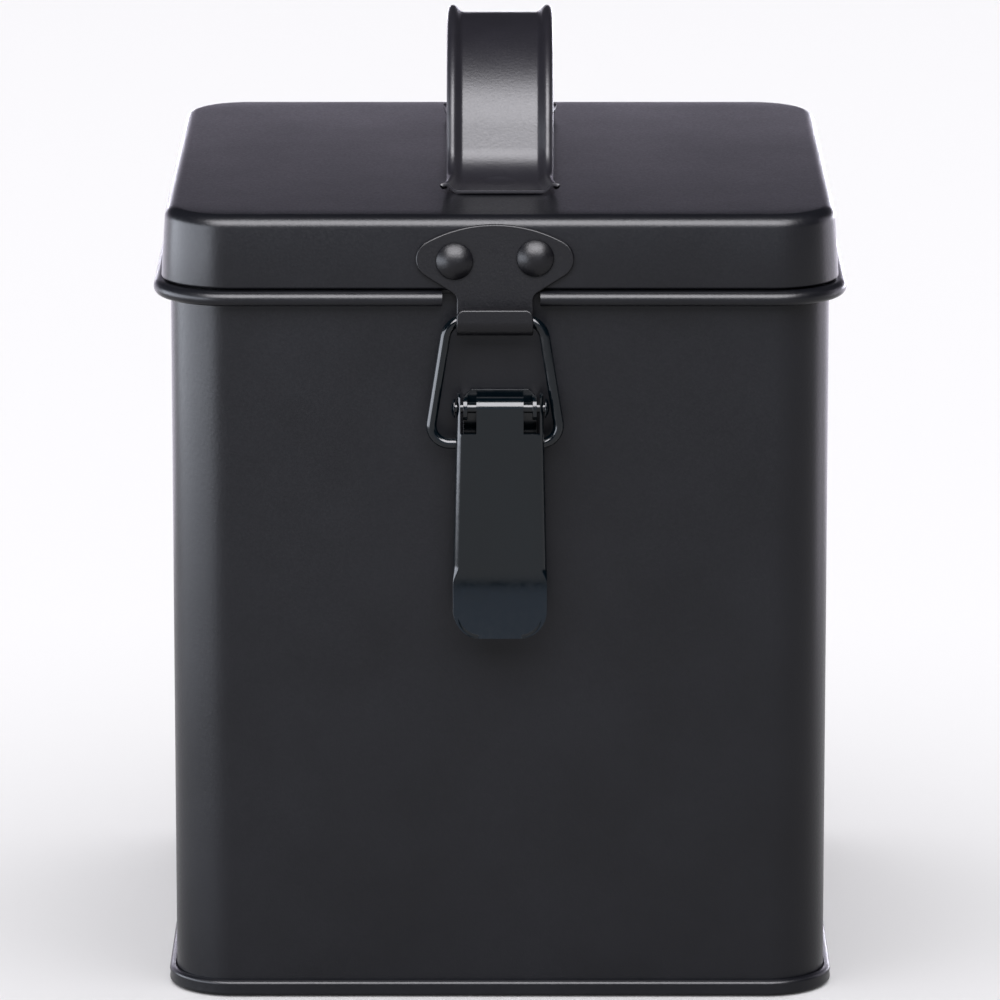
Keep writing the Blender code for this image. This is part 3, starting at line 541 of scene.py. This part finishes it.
def handle_section(way):
    """Right half of the strap's section, as (distance from the middle, height): the flat, the bead's
    long inner slope, its crest and round outer side. The bead opens out at the tip of a foot."""
    foot = max(0.0, 1.0 - way / HANDLE_FLARE_LENGTH)
    opened = max(0.0, 1.0 - way / (3.5 * MM)) ** 2
    bead = HANDLE_BEAD_INNER + HANDLE_BEAD_OUTER
    flat = (handle_high.x - handle_low.x) / 2 - HANDLE_FLARE - bead + HANDLE_FLARE * foot ** 2
    section = [(flat * i / 24, weld_dent(flat * i / 24, way)) for i in range(1, 24)]
    for i in range(13):
        share = i / 12
        lift = HANDLE_BEAD_H * (1 - math.cos(math.pi * share)) / 2
        section.append((flat + HANDLE_BEAD_INNER * share, lift))
    for i in range(1, 13):
        turn = math.pi / 2 * i / 12
        closed = HANDLE_BEAD_H * math.cos(turn)
        spread = HANDLE_BEAD_H * (1 - 0.3 * (i / 12) ** 2)
        section.append((flat + HANDLE_BEAD_INNER + HANDLE_BEAD_OUTER * math.sin(turn),
                        closed + (spread - closed) * opened))
    section.append((flat + bead, -0.3 * MM + (HANDLE_BEAD_H * 0.62 + 0.3 * MM) * opened))
    return section


def build_handle():
    half = handle_path()
    front = [(-y, height, turn, way) for y, height, turn, way in half]
    rear = [(y, height, -turn, way) for y, height, turn, way in half[-2::-1]]
    rows = []
    for y, height, turn, way in front + rear:
        right = handle_section(way)
        middle = (0.0, weld_dent(0.0, way))
        section = [(-x, rise) for x, rise in right[::-1]] + [middle] + right
        tilt = math.radians(turn)
        rows.append([(x, HANDLE_Y + y - rise * math.sin(tilt),
                      LID_TOP + height + rise * math.cos(tilt)) for x, rise in section])
    strap = settle(solidify(loft("carry_handle", rows), HANDLE_SHEET))
    strap = soften(strap, 0.1 * MM, 2, 60.0)
    finish(strap, "lid", HANDLE_LIT_COAT, "handle_coat", "handle_strap")


# ---- the catch ---------------------------------------------------------------------------------
CATCH_TOP = 157.1 * MM
CATCH_NECK = 7.5 * MM
CATCH_NECK_Z = 143.0 * MM
LOBE_X = 11.6 * MM
LOBE_Z = 150.2 * MM
LOBE_R = 3.9 * MM
CATCH_RIVET_X = 7.9 * MM
CATCH_RIVET_STEP = 0.3 * MM
HOOK_ROOM = 4.4 * MM
HOOK_Z = 138.5 * MM
LIP_TOP = 140.9 * MM
LIP_CORNER_R = 1.5 * MM


def catch_outline():
    """Right half of the catch's front view, from the top of its arch down to its neck."""
    rise = CATCH_TOP - LOBE_Z
    arch_r = (LOBE_X ** 2 + rise ** 2 - LOBE_R ** 2) / (2 * (rise - LOBE_R))
    arch_z = CATCH_TOP - arch_r
    lobe_turn = math.degrees(math.atan2(LOBE_Z - arch_z, LOBE_X))
    points = arc((0, arch_z), arch_r, 90.0, lobe_turn, 24)
    to_neck = (CATCH_NECK - LOBE_X, CATCH_NECK_Z - LOBE_Z)
    reach = math.hypot(*to_neck)
    tangent = math.degrees(math.atan2(to_neck[1], to_neck[0]) + math.acos(LOBE_R / reach))
    points += arc((LOBE_X, LOBE_Z), LOBE_R, lobe_turn, tangent, 20)[1:]
    bend = 2.0 * MM
    into = math.radians(tangent - 90.0)
    turn = math.pi / 2 + into
    reach = bend * math.tan(abs(turn) / 2)
    start = (CATCH_NECK - reach * math.cos(into), CATCH_NECK_Z - reach * math.sin(into))
    for i in range(9):
        share = i / 8
        along = (1 - share) ** 2
        down = share ** 2
        points.append((along * start[0] + (1 - along) * CATCH_NECK,
                       along * start[1] + (1 - along - down) * CATCH_NECK_Z
                       + down * (CATCH_NECK_Z - reach)))
    return points


def build_catch():
    back = FRONT_Y - LID_OUT_LOW - GAP
    middle = back - PLATE / 2
    fold_r = HOOK_ROOM / 2 + PLATE / 2
    half = catch_outline() + [(CATCH_NECK, HOOK_Z - HOOK_ROOM)]
    outline = half + [(-x, z) for x, z in half[::-1] if x > 1e-9]
    outline = [(CATCH_X + x, z) for x, z in outline]
    path = [(middle, CATCH_TOP + PLATE)]
    path += arc((middle - fold_r, HOOK_Z), fold_r, 0.0, -180.0, 28)
    lip_y = middle - 2 * fold_r
    path.append((lip_y, LIP_TOP))
    plate = side_prism(thicken(path, PLATE), CATCH_X - 2 * LOBE_X, CATCH_X + 2 * LOBE_X)
    plate = cut(plate, front_prism(outline, FRONT_Y - 15 * MM, FRONT_Y + 5 * MM), "INTERSECT")
    for side in (-1, 1):
        corner = (CATCH_X + side * CATCH_NECK, LIP_TOP)
        centre = (corner[0] - side * LIP_CORNER_R, corner[1] - LIP_CORNER_R)
        bite = arc(centre, LIP_CORNER_R, 90.0 - side * 90.0, 90.0, 10)
        over = 0.5 * MM
        bite += [(centre[0], corner[1] + over), (corner[0] + side * over, corner[1] + over),
                 (corner[0] + side * over, centre[1])]
        plate = cut(plate, front_prism(bite, lip_y - PLATE, lip_y + PLATE))
    plate.name = "catch_hook"
    place(plate, lean_with_lid(-1))
    plate = soften(plate, 0.36 * MM, 4, 40.0)
    finish(plate, "lid", CATCH_SHADED_COAT, "catch_coat", "catch_plate")
    head_y = back - PLATE - GAP
    for word, side in (("left", -1), ("right", 1)):
        spot = (CATCH_X + side * CATCH_RIVET_X, head_y, LOBE_Z + side * CATCH_RIVET_STEP)
        stud = rivet("catch_stud_" + word, spot, -1, 3.65 * MM, 1.8 * MM, 2.6 * MM)
        place(stud, lean_with_lid(-1))
        finish(stud, "lid", CATCH_SHADED_COAT, "catch_coat", "catch_rivet_" + word)


def rivet(name, spot, facing, head_r, head_h, tail_r):
    """A dome-headed rivet along Y: the head's underside is at the spot and faces -1 or 1."""
    grip = PLATE + SHEET + 3 * GAP
    shank_r = 1.3 * MM
    rim_h = 0.22 * MM
    dome_h = head_h - rim_h
    dome_r = (head_r ** 2 + dome_h ** 2) / (2 * dome_h)
    edge = math.degrees(math.asin(head_r / dome_r))
    profile = arc((0, head_h - dome_r), dome_r, 90.0, 90.0 - edge, 16)
    profile[0] = (0.0, head_h)
    profile += [(head_r, rim_h * 0.5), (head_r - 0.08 * MM, 0.0), (shank_r, 0.0)]
    tail = -grip - 0.7 * MM
    profile += [(shank_r, -grip), (tail_r - 0.1 * MM, -grip), (tail_r, -grip - 0.15 * MM)]
    profile += [(tail_r, tail + 0.25 * MM), (tail_r - 0.25 * MM, tail), (0.0, tail)]
    stud = turned(name, profile)
    place(stud, Matrix.Translation(spot) @ Matrix.Rotation(-facing * math.pi / 2, 4, "X"))
    return smooth(stud, 50.0)


# ---- the draw latch; its lever and bail hang on the axes of the frame's joints ------------------
BASE_HALF = 7.2 * MM
BASE_TOP_Z = 124.0 * MM
BASE_TOP_HALF = 5.6 * MM
BASE_LOW_Z = 92.0 * MM
BASE_CORNER_R = 3.0 * MM
EAR_R = 2.4 * MM
LATCH_RIVETS = (("upper", 108.0 * MM), ("lower", 97.0 * MM))
PIN_R = 1.05 * MM
LEVER_TOP_HALF = 8.5 * MM
LEVER_LOW_HALF = 9.25 * MM
LEVER_DEPTH = 5.2 * MM
LEVER_BEND_Z = 87.0 * MM
LEVER_LOW_Z = 75.6 * MM
LEVER_BEND_R = 1.4 * MM
LEVER_LIP = 0.05 * MM        # what is left of the lever's sides beside its tab
LEVER_FADE = 6.5 * MM        # the height over which the sides grow to their full depth
TAB_OUT = 2.2 * MM
TAB_RISE = 1.5 * MM          # how far above the sides' lower end the tab starts to bend out
TAB_CORNER_R = 5.5 * MM
TONGUE_HALF = 4.6 * MM
SLOT_LOW_Z = 116.3 * MM
FLANGE_EAR_R = 3.0 * MM
BAIL_WIRE_R = 1.05 * MM
BAIL_TOP_HALF = 9.2 * MM
BAIL_LOW_HALF = 13.1 * MM
BAIL_TOP_R = 4.0 * MM
BAIL_LOW_R = 3.6 * MM
PIN_Y = lever_axis.y
PIN_Z = lever_axis.z
ROLL_R = PIN_R + GAP + LEVER_T / 2
LEVER_FACE_Y = PIN_Y - ROLL_R - LEVER_T / 2


def build_bracket():
    middle = FRONT_Y - GAP - PLATE / 2
    shoulder = BASE_HALF - BASE_TOP_HALF
    right = [(BASE_TOP_HALF, BASE_TOP_Z), (BASE_HALF, BASE_TOP_Z - shoulder)]
    corner = (BASE_HALF - BASE_CORNER_R, BASE_LOW_Z + BASE_CORNER_R)
    right += arc(corner, BASE_CORNER_R, 0.0, -90.0, 12)
    outline = right + [(-x, z) for x, z in right[::-1]]
    bracket = front_prism(outline, middle - PLATE / 2, middle + PLATE / 2)
    for side in (-1, 1):
        ear = [(middle, PIN_Z - EAR_R - 0.8 * MM)]
        ear += arc((PIN_Y, PIN_Z), EAR_R, -90.0, -270.0, 28)
        ear.append((middle, PIN_Z + EAR_R - 1.2 * MM))
        outer = side * BASE_HALF
        inner = side * (BASE_HALF - PLATE)
        bracket = cut(bracket, side_prism(ear, min(outer, inner), max(outer, inner)), "UNION")
    bore = bar_tool(PIN_Y, PIN_Z, PIN_R + GAP, -2 * BASE_HALF, 2 * BASE_HALF)
    bracket = cut(bracket, bore)
    bracket.name = "latch_bracket"
    bracket = soften(bracket, 0.12 * MM, 2, 40.0)
    finish(bracket, "box", ENAMEL, "latch_gloss", "latch_base")
    for word, z in LATCH_RIVETS:
        spot = (0, FRONT_Y - 2 * GAP - PLATE, z)
        stud = rivet("bracket_stud_" + word, spot, -1, 2.6 * MM, 1.0 * MM, 2.4 * MM)
        finish(stud, "box", ENAMEL, "latch_gloss", "latch_rivet_" + word)


def headed_pin(name, y, z, x, half_length, radius, head_r, head_h):
    """A pin along X with a domed head past each end of its half length."""
    rim_h = 0.2 * MM
    dome_h = head_h - rim_h
    dome_r = (head_r ** 2 + dome_h ** 2) / (2 * dome_h)
    edge = math.degrees(math.asin(head_r / dome_r))
    end = arc((0, half_length + head_h - dome_r), dome_r, 90.0, 90.0 - edge, 10)
    end[0] = (0.0, half_length + head_h)
    end += [(head_r, half_length + rim_h * 0.4), (head_r - 0.08 * MM, half_length)]
    profile = end + [(radius, half_length), (radius, -half_length)]
    profile += [(r, -height) for r, height in end[::-1]]
    pin = turned(name, profile, 48)
    place(pin, Matrix.Translation((x, y, z)) @ Matrix.Rotation(math.pi / 2, 4, "Y"))
    return smooth(pin, 50.0)


def lever_half(z):
    share = (PIN_Z - z) / (PIN_Z - LEVER_BEND_Z)
    return LEVER_TOP_HALF + (LEVER_LOW_HALF - LEVER_TOP_HALF) * min(share, 1.0)


def lever_row(z):
    """One cut through the lever's channel at a height: rear edge, bend, face, bend, rear edge."""
    half = lever_half(z)
    face_y = LEVER_FACE_Y
    drop = LEVER_BEND_Z + TAB_RISE - z
    if drop > 0:
        reach = LEVER_BEND_Z + TAB_RISE - LEVER_LOW_Z
        face_y -= TAB_OUT * min(drop / reach, 1.0) ** 1.4
    fade = min(max((z - LEVER_BEND_Z + 0.5 * MM) / LEVER_FADE, 0.0), 1.0)
    depth = LEVER_LIP + (LEVER_DEPTH - LEVER_LIP) * fade ** 1.3
    bend = min(LEVER_BEND_R, depth * 0.9)
    if z < LEVER_LOW_Z + TAB_CORNER_R:
        fall = LEVER_LOW_Z + TAB_CORNER_R - z
        half += math.sqrt(max(TAB_CORNER_R ** 2 - fall ** 2, 0.0)) - TAB_CORNER_R
    right = [(half, face_y + depth), (half, face_y + (depth + bend) / 2)]
    right += arc((half - bend, face_y + bend), bend, 0.0, -90.0, 8)
    inward = half - bend
    right += [(inward * share, face_y) for share in (0.75, 0.5, 0.25)]
    left = [(-x, y) for x, y in right]
    return [(x, y, z) for x, y in left + [(0.0, face_y)] + right[::-1]]


def build_lever():
    top = PIN_Z + FLANGE_EAR_R + 0.5 * MM
    kick = LEVER_BEND_Z + 8 * MM
    round_z = LEVER_LOW_Z + TAB_CORNER_R
    heights = [top + (kick - top) * i / 30 for i in range(31)]
    heights += [kick + (round_z - kick) * i / 24 for i in range(1, 25)]
    for i in range(1, 15):
        heights.append(LEVER_LOW_Z + TAB_CORNER_R * (1 - math.sin(math.pi / 2 * i / 15)))
    channel = loft("latch_handle", [lever_row(z) for z in reversed(heights)])
    channel = settle(solidify(channel, LEVER_T))
    back = LEVER_FACE_Y + LEVER_DEPTH
    far = 8 * MM
    past = 20 * MM
    side_view = [(PIN_Y - past, LEVER_LOW_Z - far), (back, LEVER_LOW_Z - far)]
    side_view += arc((PIN_Y, PIN_Z), FLANGE_EAR_R, 0.0, 180.0, 32)
    side_view.append((PIN_Y - FLANGE_EAR_R, SLOT_LOW_Z))
    side_view.append((PIN_Y - past, SLOT_LOW_Z))
    keep = side_prism(side_view, -past, past)
    channel = cut(channel, keep, "INTERSECT")
    inside = lever_half(SLOT_LOW_Z) - LEVER_T
    slot = box_tool((-inside, PIN_Y - far, SLOT_LOW_Z), (inside, PIN_Y + far, PIN_Z + far))
    channel = cut(channel, slot)
    face_y = LEVER_FACE_Y + LEVER_T / 2
    path = arc((PIN_Y, PIN_Z), ROLL_R, -100.0, 180.0, 44)
    path.append((face_y, SLOT_LOW_Z - 0.6 * MM))
    tongue = side_prism(thicken(path, LEVER_T), -TONGUE_HALF, TONGUE_HALF)
    channel = cut(channel, tongue, "UNION")
    channel = cut(channel, bar_tool(bail_axis.y, bail_axis.z, BAIL_WIRE_R + GAP, -past, past))
    for side in (-1, 1):
        low, high = sorted((side * (inside - 1 * MM), side * 12 * MM))
        channel = cut(channel, bar_tool(PIN_Y, PIN_Z, PIN_R + GAP, low, high))
    channel.name = "latch_handle"
    channel = soften(channel, 0.18 * MM, 3, 40.0)
    finish(channel, "lever", ENAMEL, "latch_gloss", "latch_lever")


def build_pin():
    half = lever_half(PIN_Z) + GAP
    pin = headed_pin("latch_pin", PIN_Y, PIN_Z, 0, half, PIN_R, 2.0 * MM, 0.9 * MM)
    finish(pin, "box", ENAMEL, "latch_gloss", "lever_pin")


def build_bail():
    """The bail: round wire bent into a loop that is wider at the lever than at the catch."""
    top_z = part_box("bail_wire")[1].z - BAIL_WIRE_R
    corners = [(-BAIL_TOP_HALF, top_z), (BAIL_TOP_HALF, top_z),
               (BAIL_LOW_HALF, bail_axis.z), (-BAIL_LOW_HALF, bail_axis.z)]
    bends = (BAIL_TOP_R, BAIL_TOP_R, BAIL_LOW_R, BAIL_LOW_R)
    points = []
    for i, (corner, bend) in enumerate(zip(corners, bends)):
        before = Vector(corners[i - 1])
        here = Vector(corner)
        after = Vector(corners[(i + 1) % 4])
        into = (here - before).normalized()
        out = (after - here).normalized()
        turn = math.atan2(into.x * out.y - into.y * out.x, into.dot(out))
        start = here - into * bend * math.tan(abs(turn) / 2)
        side = math.copysign(1.0, turn)
        centre = start + side * bend * Vector((-into.y, into.x))
        first = math.degrees(math.atan2(start.y - centre.y, start.x - centre.x))
        points += arc(centre, bend, first, first + math.degrees(turn), 16)
    curve = bpy.data.curves.new("latch_bail", "CURVE")
    curve.dimensions = "3D"
    curve.bevel_depth = BAIL_WIRE_R
    curve.bevel_resolution = 8
    spline = curve.splines.new("POLY")
    spline.points.add(len(points) - 1)
    for point, (x, z) in zip(spline.points, points):
        point.co = (CATCH_X + x, bail_axis.y, z, 1.0)
    spline.use_cyclic_u = True
    wire = settle(link("latch_bail", curve))
    finish(smooth(wire), "bail", ENAMEL, "latch_gloss", "bail_wire")


# ---- the rear hinges ---------------------------------------------------------------------------
LEAF_LOW_Z = 126.5 * MM
LEAF_HIGH_Z = 155.0 * MM
LEAF_RIVET_X = 6.0 * MM
LEAF_RIVET_LOW_Z = 131.0 * MM
LEAF_RIVET_HIGH_Z = 150.4 * MM
HINGE_PIN_R = 1.0 * MM
KNUCKLE_HALF = 3.4 * MM
LEAF_CORNER_R = 2.5 * MM


def round_leaf(leaf, x, end_z, facing):
    """Round the two free corners of a hinge leaf. Facing is 1 for an upper end, -1 for a lower."""
    over = 1 * MM
    for side in (-1, 1):
        corner_x = x + side * HINGE_HALF
        centre = (corner_x - side * LEAF_CORNER_R, end_z - facing * LEAF_CORNER_R)
        start = 90.0 - side * 90.0
        bite = arc(centre, LEAF_CORNER_R, start, start + side * facing * 90.0, 8)
        bite += [(centre[0], end_z + facing * over),
                 (corner_x + side * over, end_z + facing * over), (corner_x + side * over, centre[1])]
        leaf = cut(leaf, front_prism(bite, REAR_Y - over, REAR_Y + 4 * MM))
    return leaf


def build_hinge(side_name, x):
    name = "hinge_" + side_name
    axis_y = lid_axis.y
    axis_z = lid_axis.z
    roll_r = HINGE_PIN_R + GAP + PLATE / 2
    rise_y = axis_y - roll_r
    wall_y = REAR_Y + GAP + PLATE / 2
    clear = roll_r + PLATE / 2 + 0.4 * MM
    far = 5 * MM
    low_path = [(wall_y, LEAF_LOW_Z), (wall_y, axis_z - 4.8 * MM), (rise_y, axis_z - 2.2 * MM)]
    low_path += arc((axis_y, axis_z), roll_r, 180.0, -110.0, 40)
    low_leaf = side_prism(thicken(low_path, PLATE), x - HINGE_HALF, x + HINGE_HALF)
    half = KNUCKLE_HALF + GAP
    low_leaf = cut(low_leaf, box_tool((x - half, REAR_Y + GAP, axis_z - clear),
                                      (x + half, axis_y + far, axis_z + far)))
    low_leaf = round_leaf(low_leaf, x, LEAF_LOW_Z, -1)
    low_leaf.name = name + "_wall_leaf"
    low_leaf = soften(low_leaf, 0.12 * MM, 2, 40.0)
    finish(low_leaf, "box", HINGE_COAT, "hinge_coat", name + "_body_leaf")

    lean_y = (LEAF_HIGH_Z - axis_z - clear) * math.tan(LID_DRAFT)
    high_path = [(rise_y - lean_y, LEAF_HIGH_Z), (rise_y, axis_z + clear)]
    high_path += arc((axis_y, axis_z), roll_r, 180.0, 470.0, 40)
    high_leaf = side_prism(thicken(high_path, PLATE), x - HINGE_HALF, x + HINGE_HALF)
    for side in (-1, 1):
        low_x, high_x = sorted((x + side * KNUCKLE_HALF, x + side * (HINGE_HALF + far)))
        high_leaf = cut(high_leaf, box_tool((low_x, REAR_Y, axis_z - far),
                                            (high_x, axis_y + far, axis_z + clear)))
    high_leaf = round_leaf(high_leaf, x, LEAF_HIGH_Z, 1)
    high_leaf.name = name + "_cover_leaf"
    high_leaf = soften(high_leaf, 0.12 * MM, 2, 40.0)
    finish(high_leaf, "lid", HINGE_COAT, "hinge_coat", name + "_lid_leaf")

    head_y = REAR_Y + 2 * GAP + PLATE
    for word, side in (("inner", -1), ("outer", 1)):
        rivet_x = x + math.copysign(1.0, x) * side * LEAF_RIVET_X
        spot = (rivet_x, head_y, LEAF_RIVET_LOW_Z)
        stud = rivet(name + "_wall_stud_" + word, spot, 1, 2.2 * MM, 1.0 * MM, 2.2 * MM)
        finish(stud, "box", HINGE_COAT, "hinge_coat", name + "_body_rivet_" + word)
        spot = (rivet_x, head_y + LID_OUT_LOW, LEAF_RIVET_HIGH_Z)
        stud = rivet(name + "_cover_stud_" + word, spot, 1, 2.2 * MM, 1.0 * MM, 2.2 * MM)
        place(stud, lean_with_lid(1))
        finish(stud, "lid", HINGE_COAT, "hinge_coat", name + "_lid_rivet_" + word)
    pin = headed_pin(name + "_rod", axis_y, axis_z, x, HINGE_HALF + GAP, HINGE_PIN_R,
                     1.6 * MM, 0.5 * MM)
    finish(pin, "box", HINGE_COAT, "hinge_coat", name + "_pin")


# ---- studio ------------------------------------------------------------------------------------
def build_floor():
    """Pale paper, a hair below the box so that the two don't share a plane."""
    bm = bmesh.new()
    bmesh.ops.create_grid(bm, x_segments=2, y_segments=2, size=6.0)
    floor = mesh_object(bm, "studio_floor")
    floor.location.z = -0.1 * MM
    paper = bpy.data.materials.new("pale_paper")
    paper.use_nodes = True
    shader = paper.node_tree.nodes["Principled BSDF"]
    shader.inputs["Base Color"].default_value = (0.82, 0.81, 0.83, 1.0)
    shader.inputs["Roughness"].default_value = 0.9
    shader.inputs["Specular IOR Level"].default_value = 0.1
    floor.data.materials.append(paper)
    return floor


def softbox(name, spot, target, size, radiance, lit, colour=(1.0, 1.0, 1.0)):
    """An area light that faces a target; radiance is its brightness as it is seen reflected."""
    width, height = size
    light = bpy.data.lights.new(name, "AREA")
    light.shape = "RECTANGLE"
    light.size = width
    light.size_y = height
    light.energy = radiance * math.pi * width * height
    light.color = colour
    lamp = bpy.data.objects.new(name, light)
    bpy.context.scene.collection.objects.link(lamp)
    lamp.location = spot
    lamp.rotation_euler = (Vector(target) - Vector(spot)).to_track_quat("-Z", "Y").to_euler()
    lamp.visible_camera = False
    lamp.light_linking.receiver_collection = lit
    return lamp


def group(name, members):
    """A collection that only says which objects a light falls on."""
    lit = bpy.data.collections.new(name)
    for obj in members:
        lit.objects.link(obj)
    return lit


def build_lights(pieces, floor):
    """Soft studio light on the box. The paper has two lights of its own and stays nearly white: the
    box shades it from the first and not from the second."""
    world = bpy.data.worlds.new("studio")
    world.use_nodes = True
    world.node_tree.nodes["Background"].inputs["Color"].default_value = (0.03, 0.03, 0.036, 1.0)
    bpy.context.scene.world = world
    box = group("lit_box", pieces)
    paper = group("lit_paper", [floor])
    softbox("paper_light", (0.0, 0.0, 4.0), (0.0, 0.0, 0.0), (9.0, 9.0), 1.15, paper)
    glow = softbox("paper_glow", (0.0, 0.0, 4.0), (0.0, 0.0, 0.0), (9.0, 9.0), 0.8, paper)
    glow.light_linking.blocker_collection = paper
    target = Vector((0.0, FRONT_Y, 0.15))
    reach = 1.2
    rise = math.radians(47.0)
    key = target + reach * Vector((0.0, -math.cos(rise), math.sin(rise)))
    softbox("key_softbox", key, target, (1.5, 0.98), 22.5, box, (1.0, 0.985, 1.03))
    softbox("left_softbox", (-0.5, -0.15, 0.06), (0.0, 0.0, 0.05), (0.9, 0.38), 10.5, box,
            (0.93, 0.98, 1.1))
    softbox("right_strip", (0.36, 0.10, 0.06), (0.0, 0.0, 0.05), (0.12, 0.4), 2.6, box,
            (1.0, 0.94, 1.1))
    softbox("front_fill", (0.25, -1.3, 0.36), (0.0, 0.0, 0.08), (0.8, 0.5), 1.0, box,
            (0.8, 0.92, 1.15))
    softbox("rear_card", (0.0, 0.30, 0.10), (0.0, 0.0, 0.10), (0.9, 0.2), 1.45, box,
            (1.0, 0.93, 1.14))
    softbox("rear_fill", (0.3, 1.3, 0.07), (0.0, 0.0, 0.07), (1.4, 0.13), 16.0, box,
            (0.96, 0.96, 1.08))


def build_camera():
    distance = 1.566
    height = 0.4435
    looks_down = 12.837
    data = bpy.data.cameras.new("camera")
    data.sensor_width = 36.0
    data.lens = 281.2
    camera = bpy.data.objects.new("camera", data)
    bpy.context.scene.collection.objects.link(camera)
    camera.location = (0.0, BOX_Y - distance, height)
    camera.rotation_euler = (math.radians(90.0 - looks_down), 0.0, 0.0)
    bpy.context.scene.camera = camera


def main():
    build_wall()
    build_lock_seam()
    build_collar()
    build_bottom()
    build_lid()
    build_handle()
    build_catch()
    build_bracket()
    build_pin()
    build_lever()
    build_bail()
    build_hinge("left", -HINGE_X)
    build_hinge("right", HINGE_X)
    pieces = [obj for obj in bpy.context.scene.objects if obj.type == "MESH"]
    build_lights(pieces, build_floor())
    build_camera()
    bpy.context.scene.view_settings.view_transform = "Standard"


main()
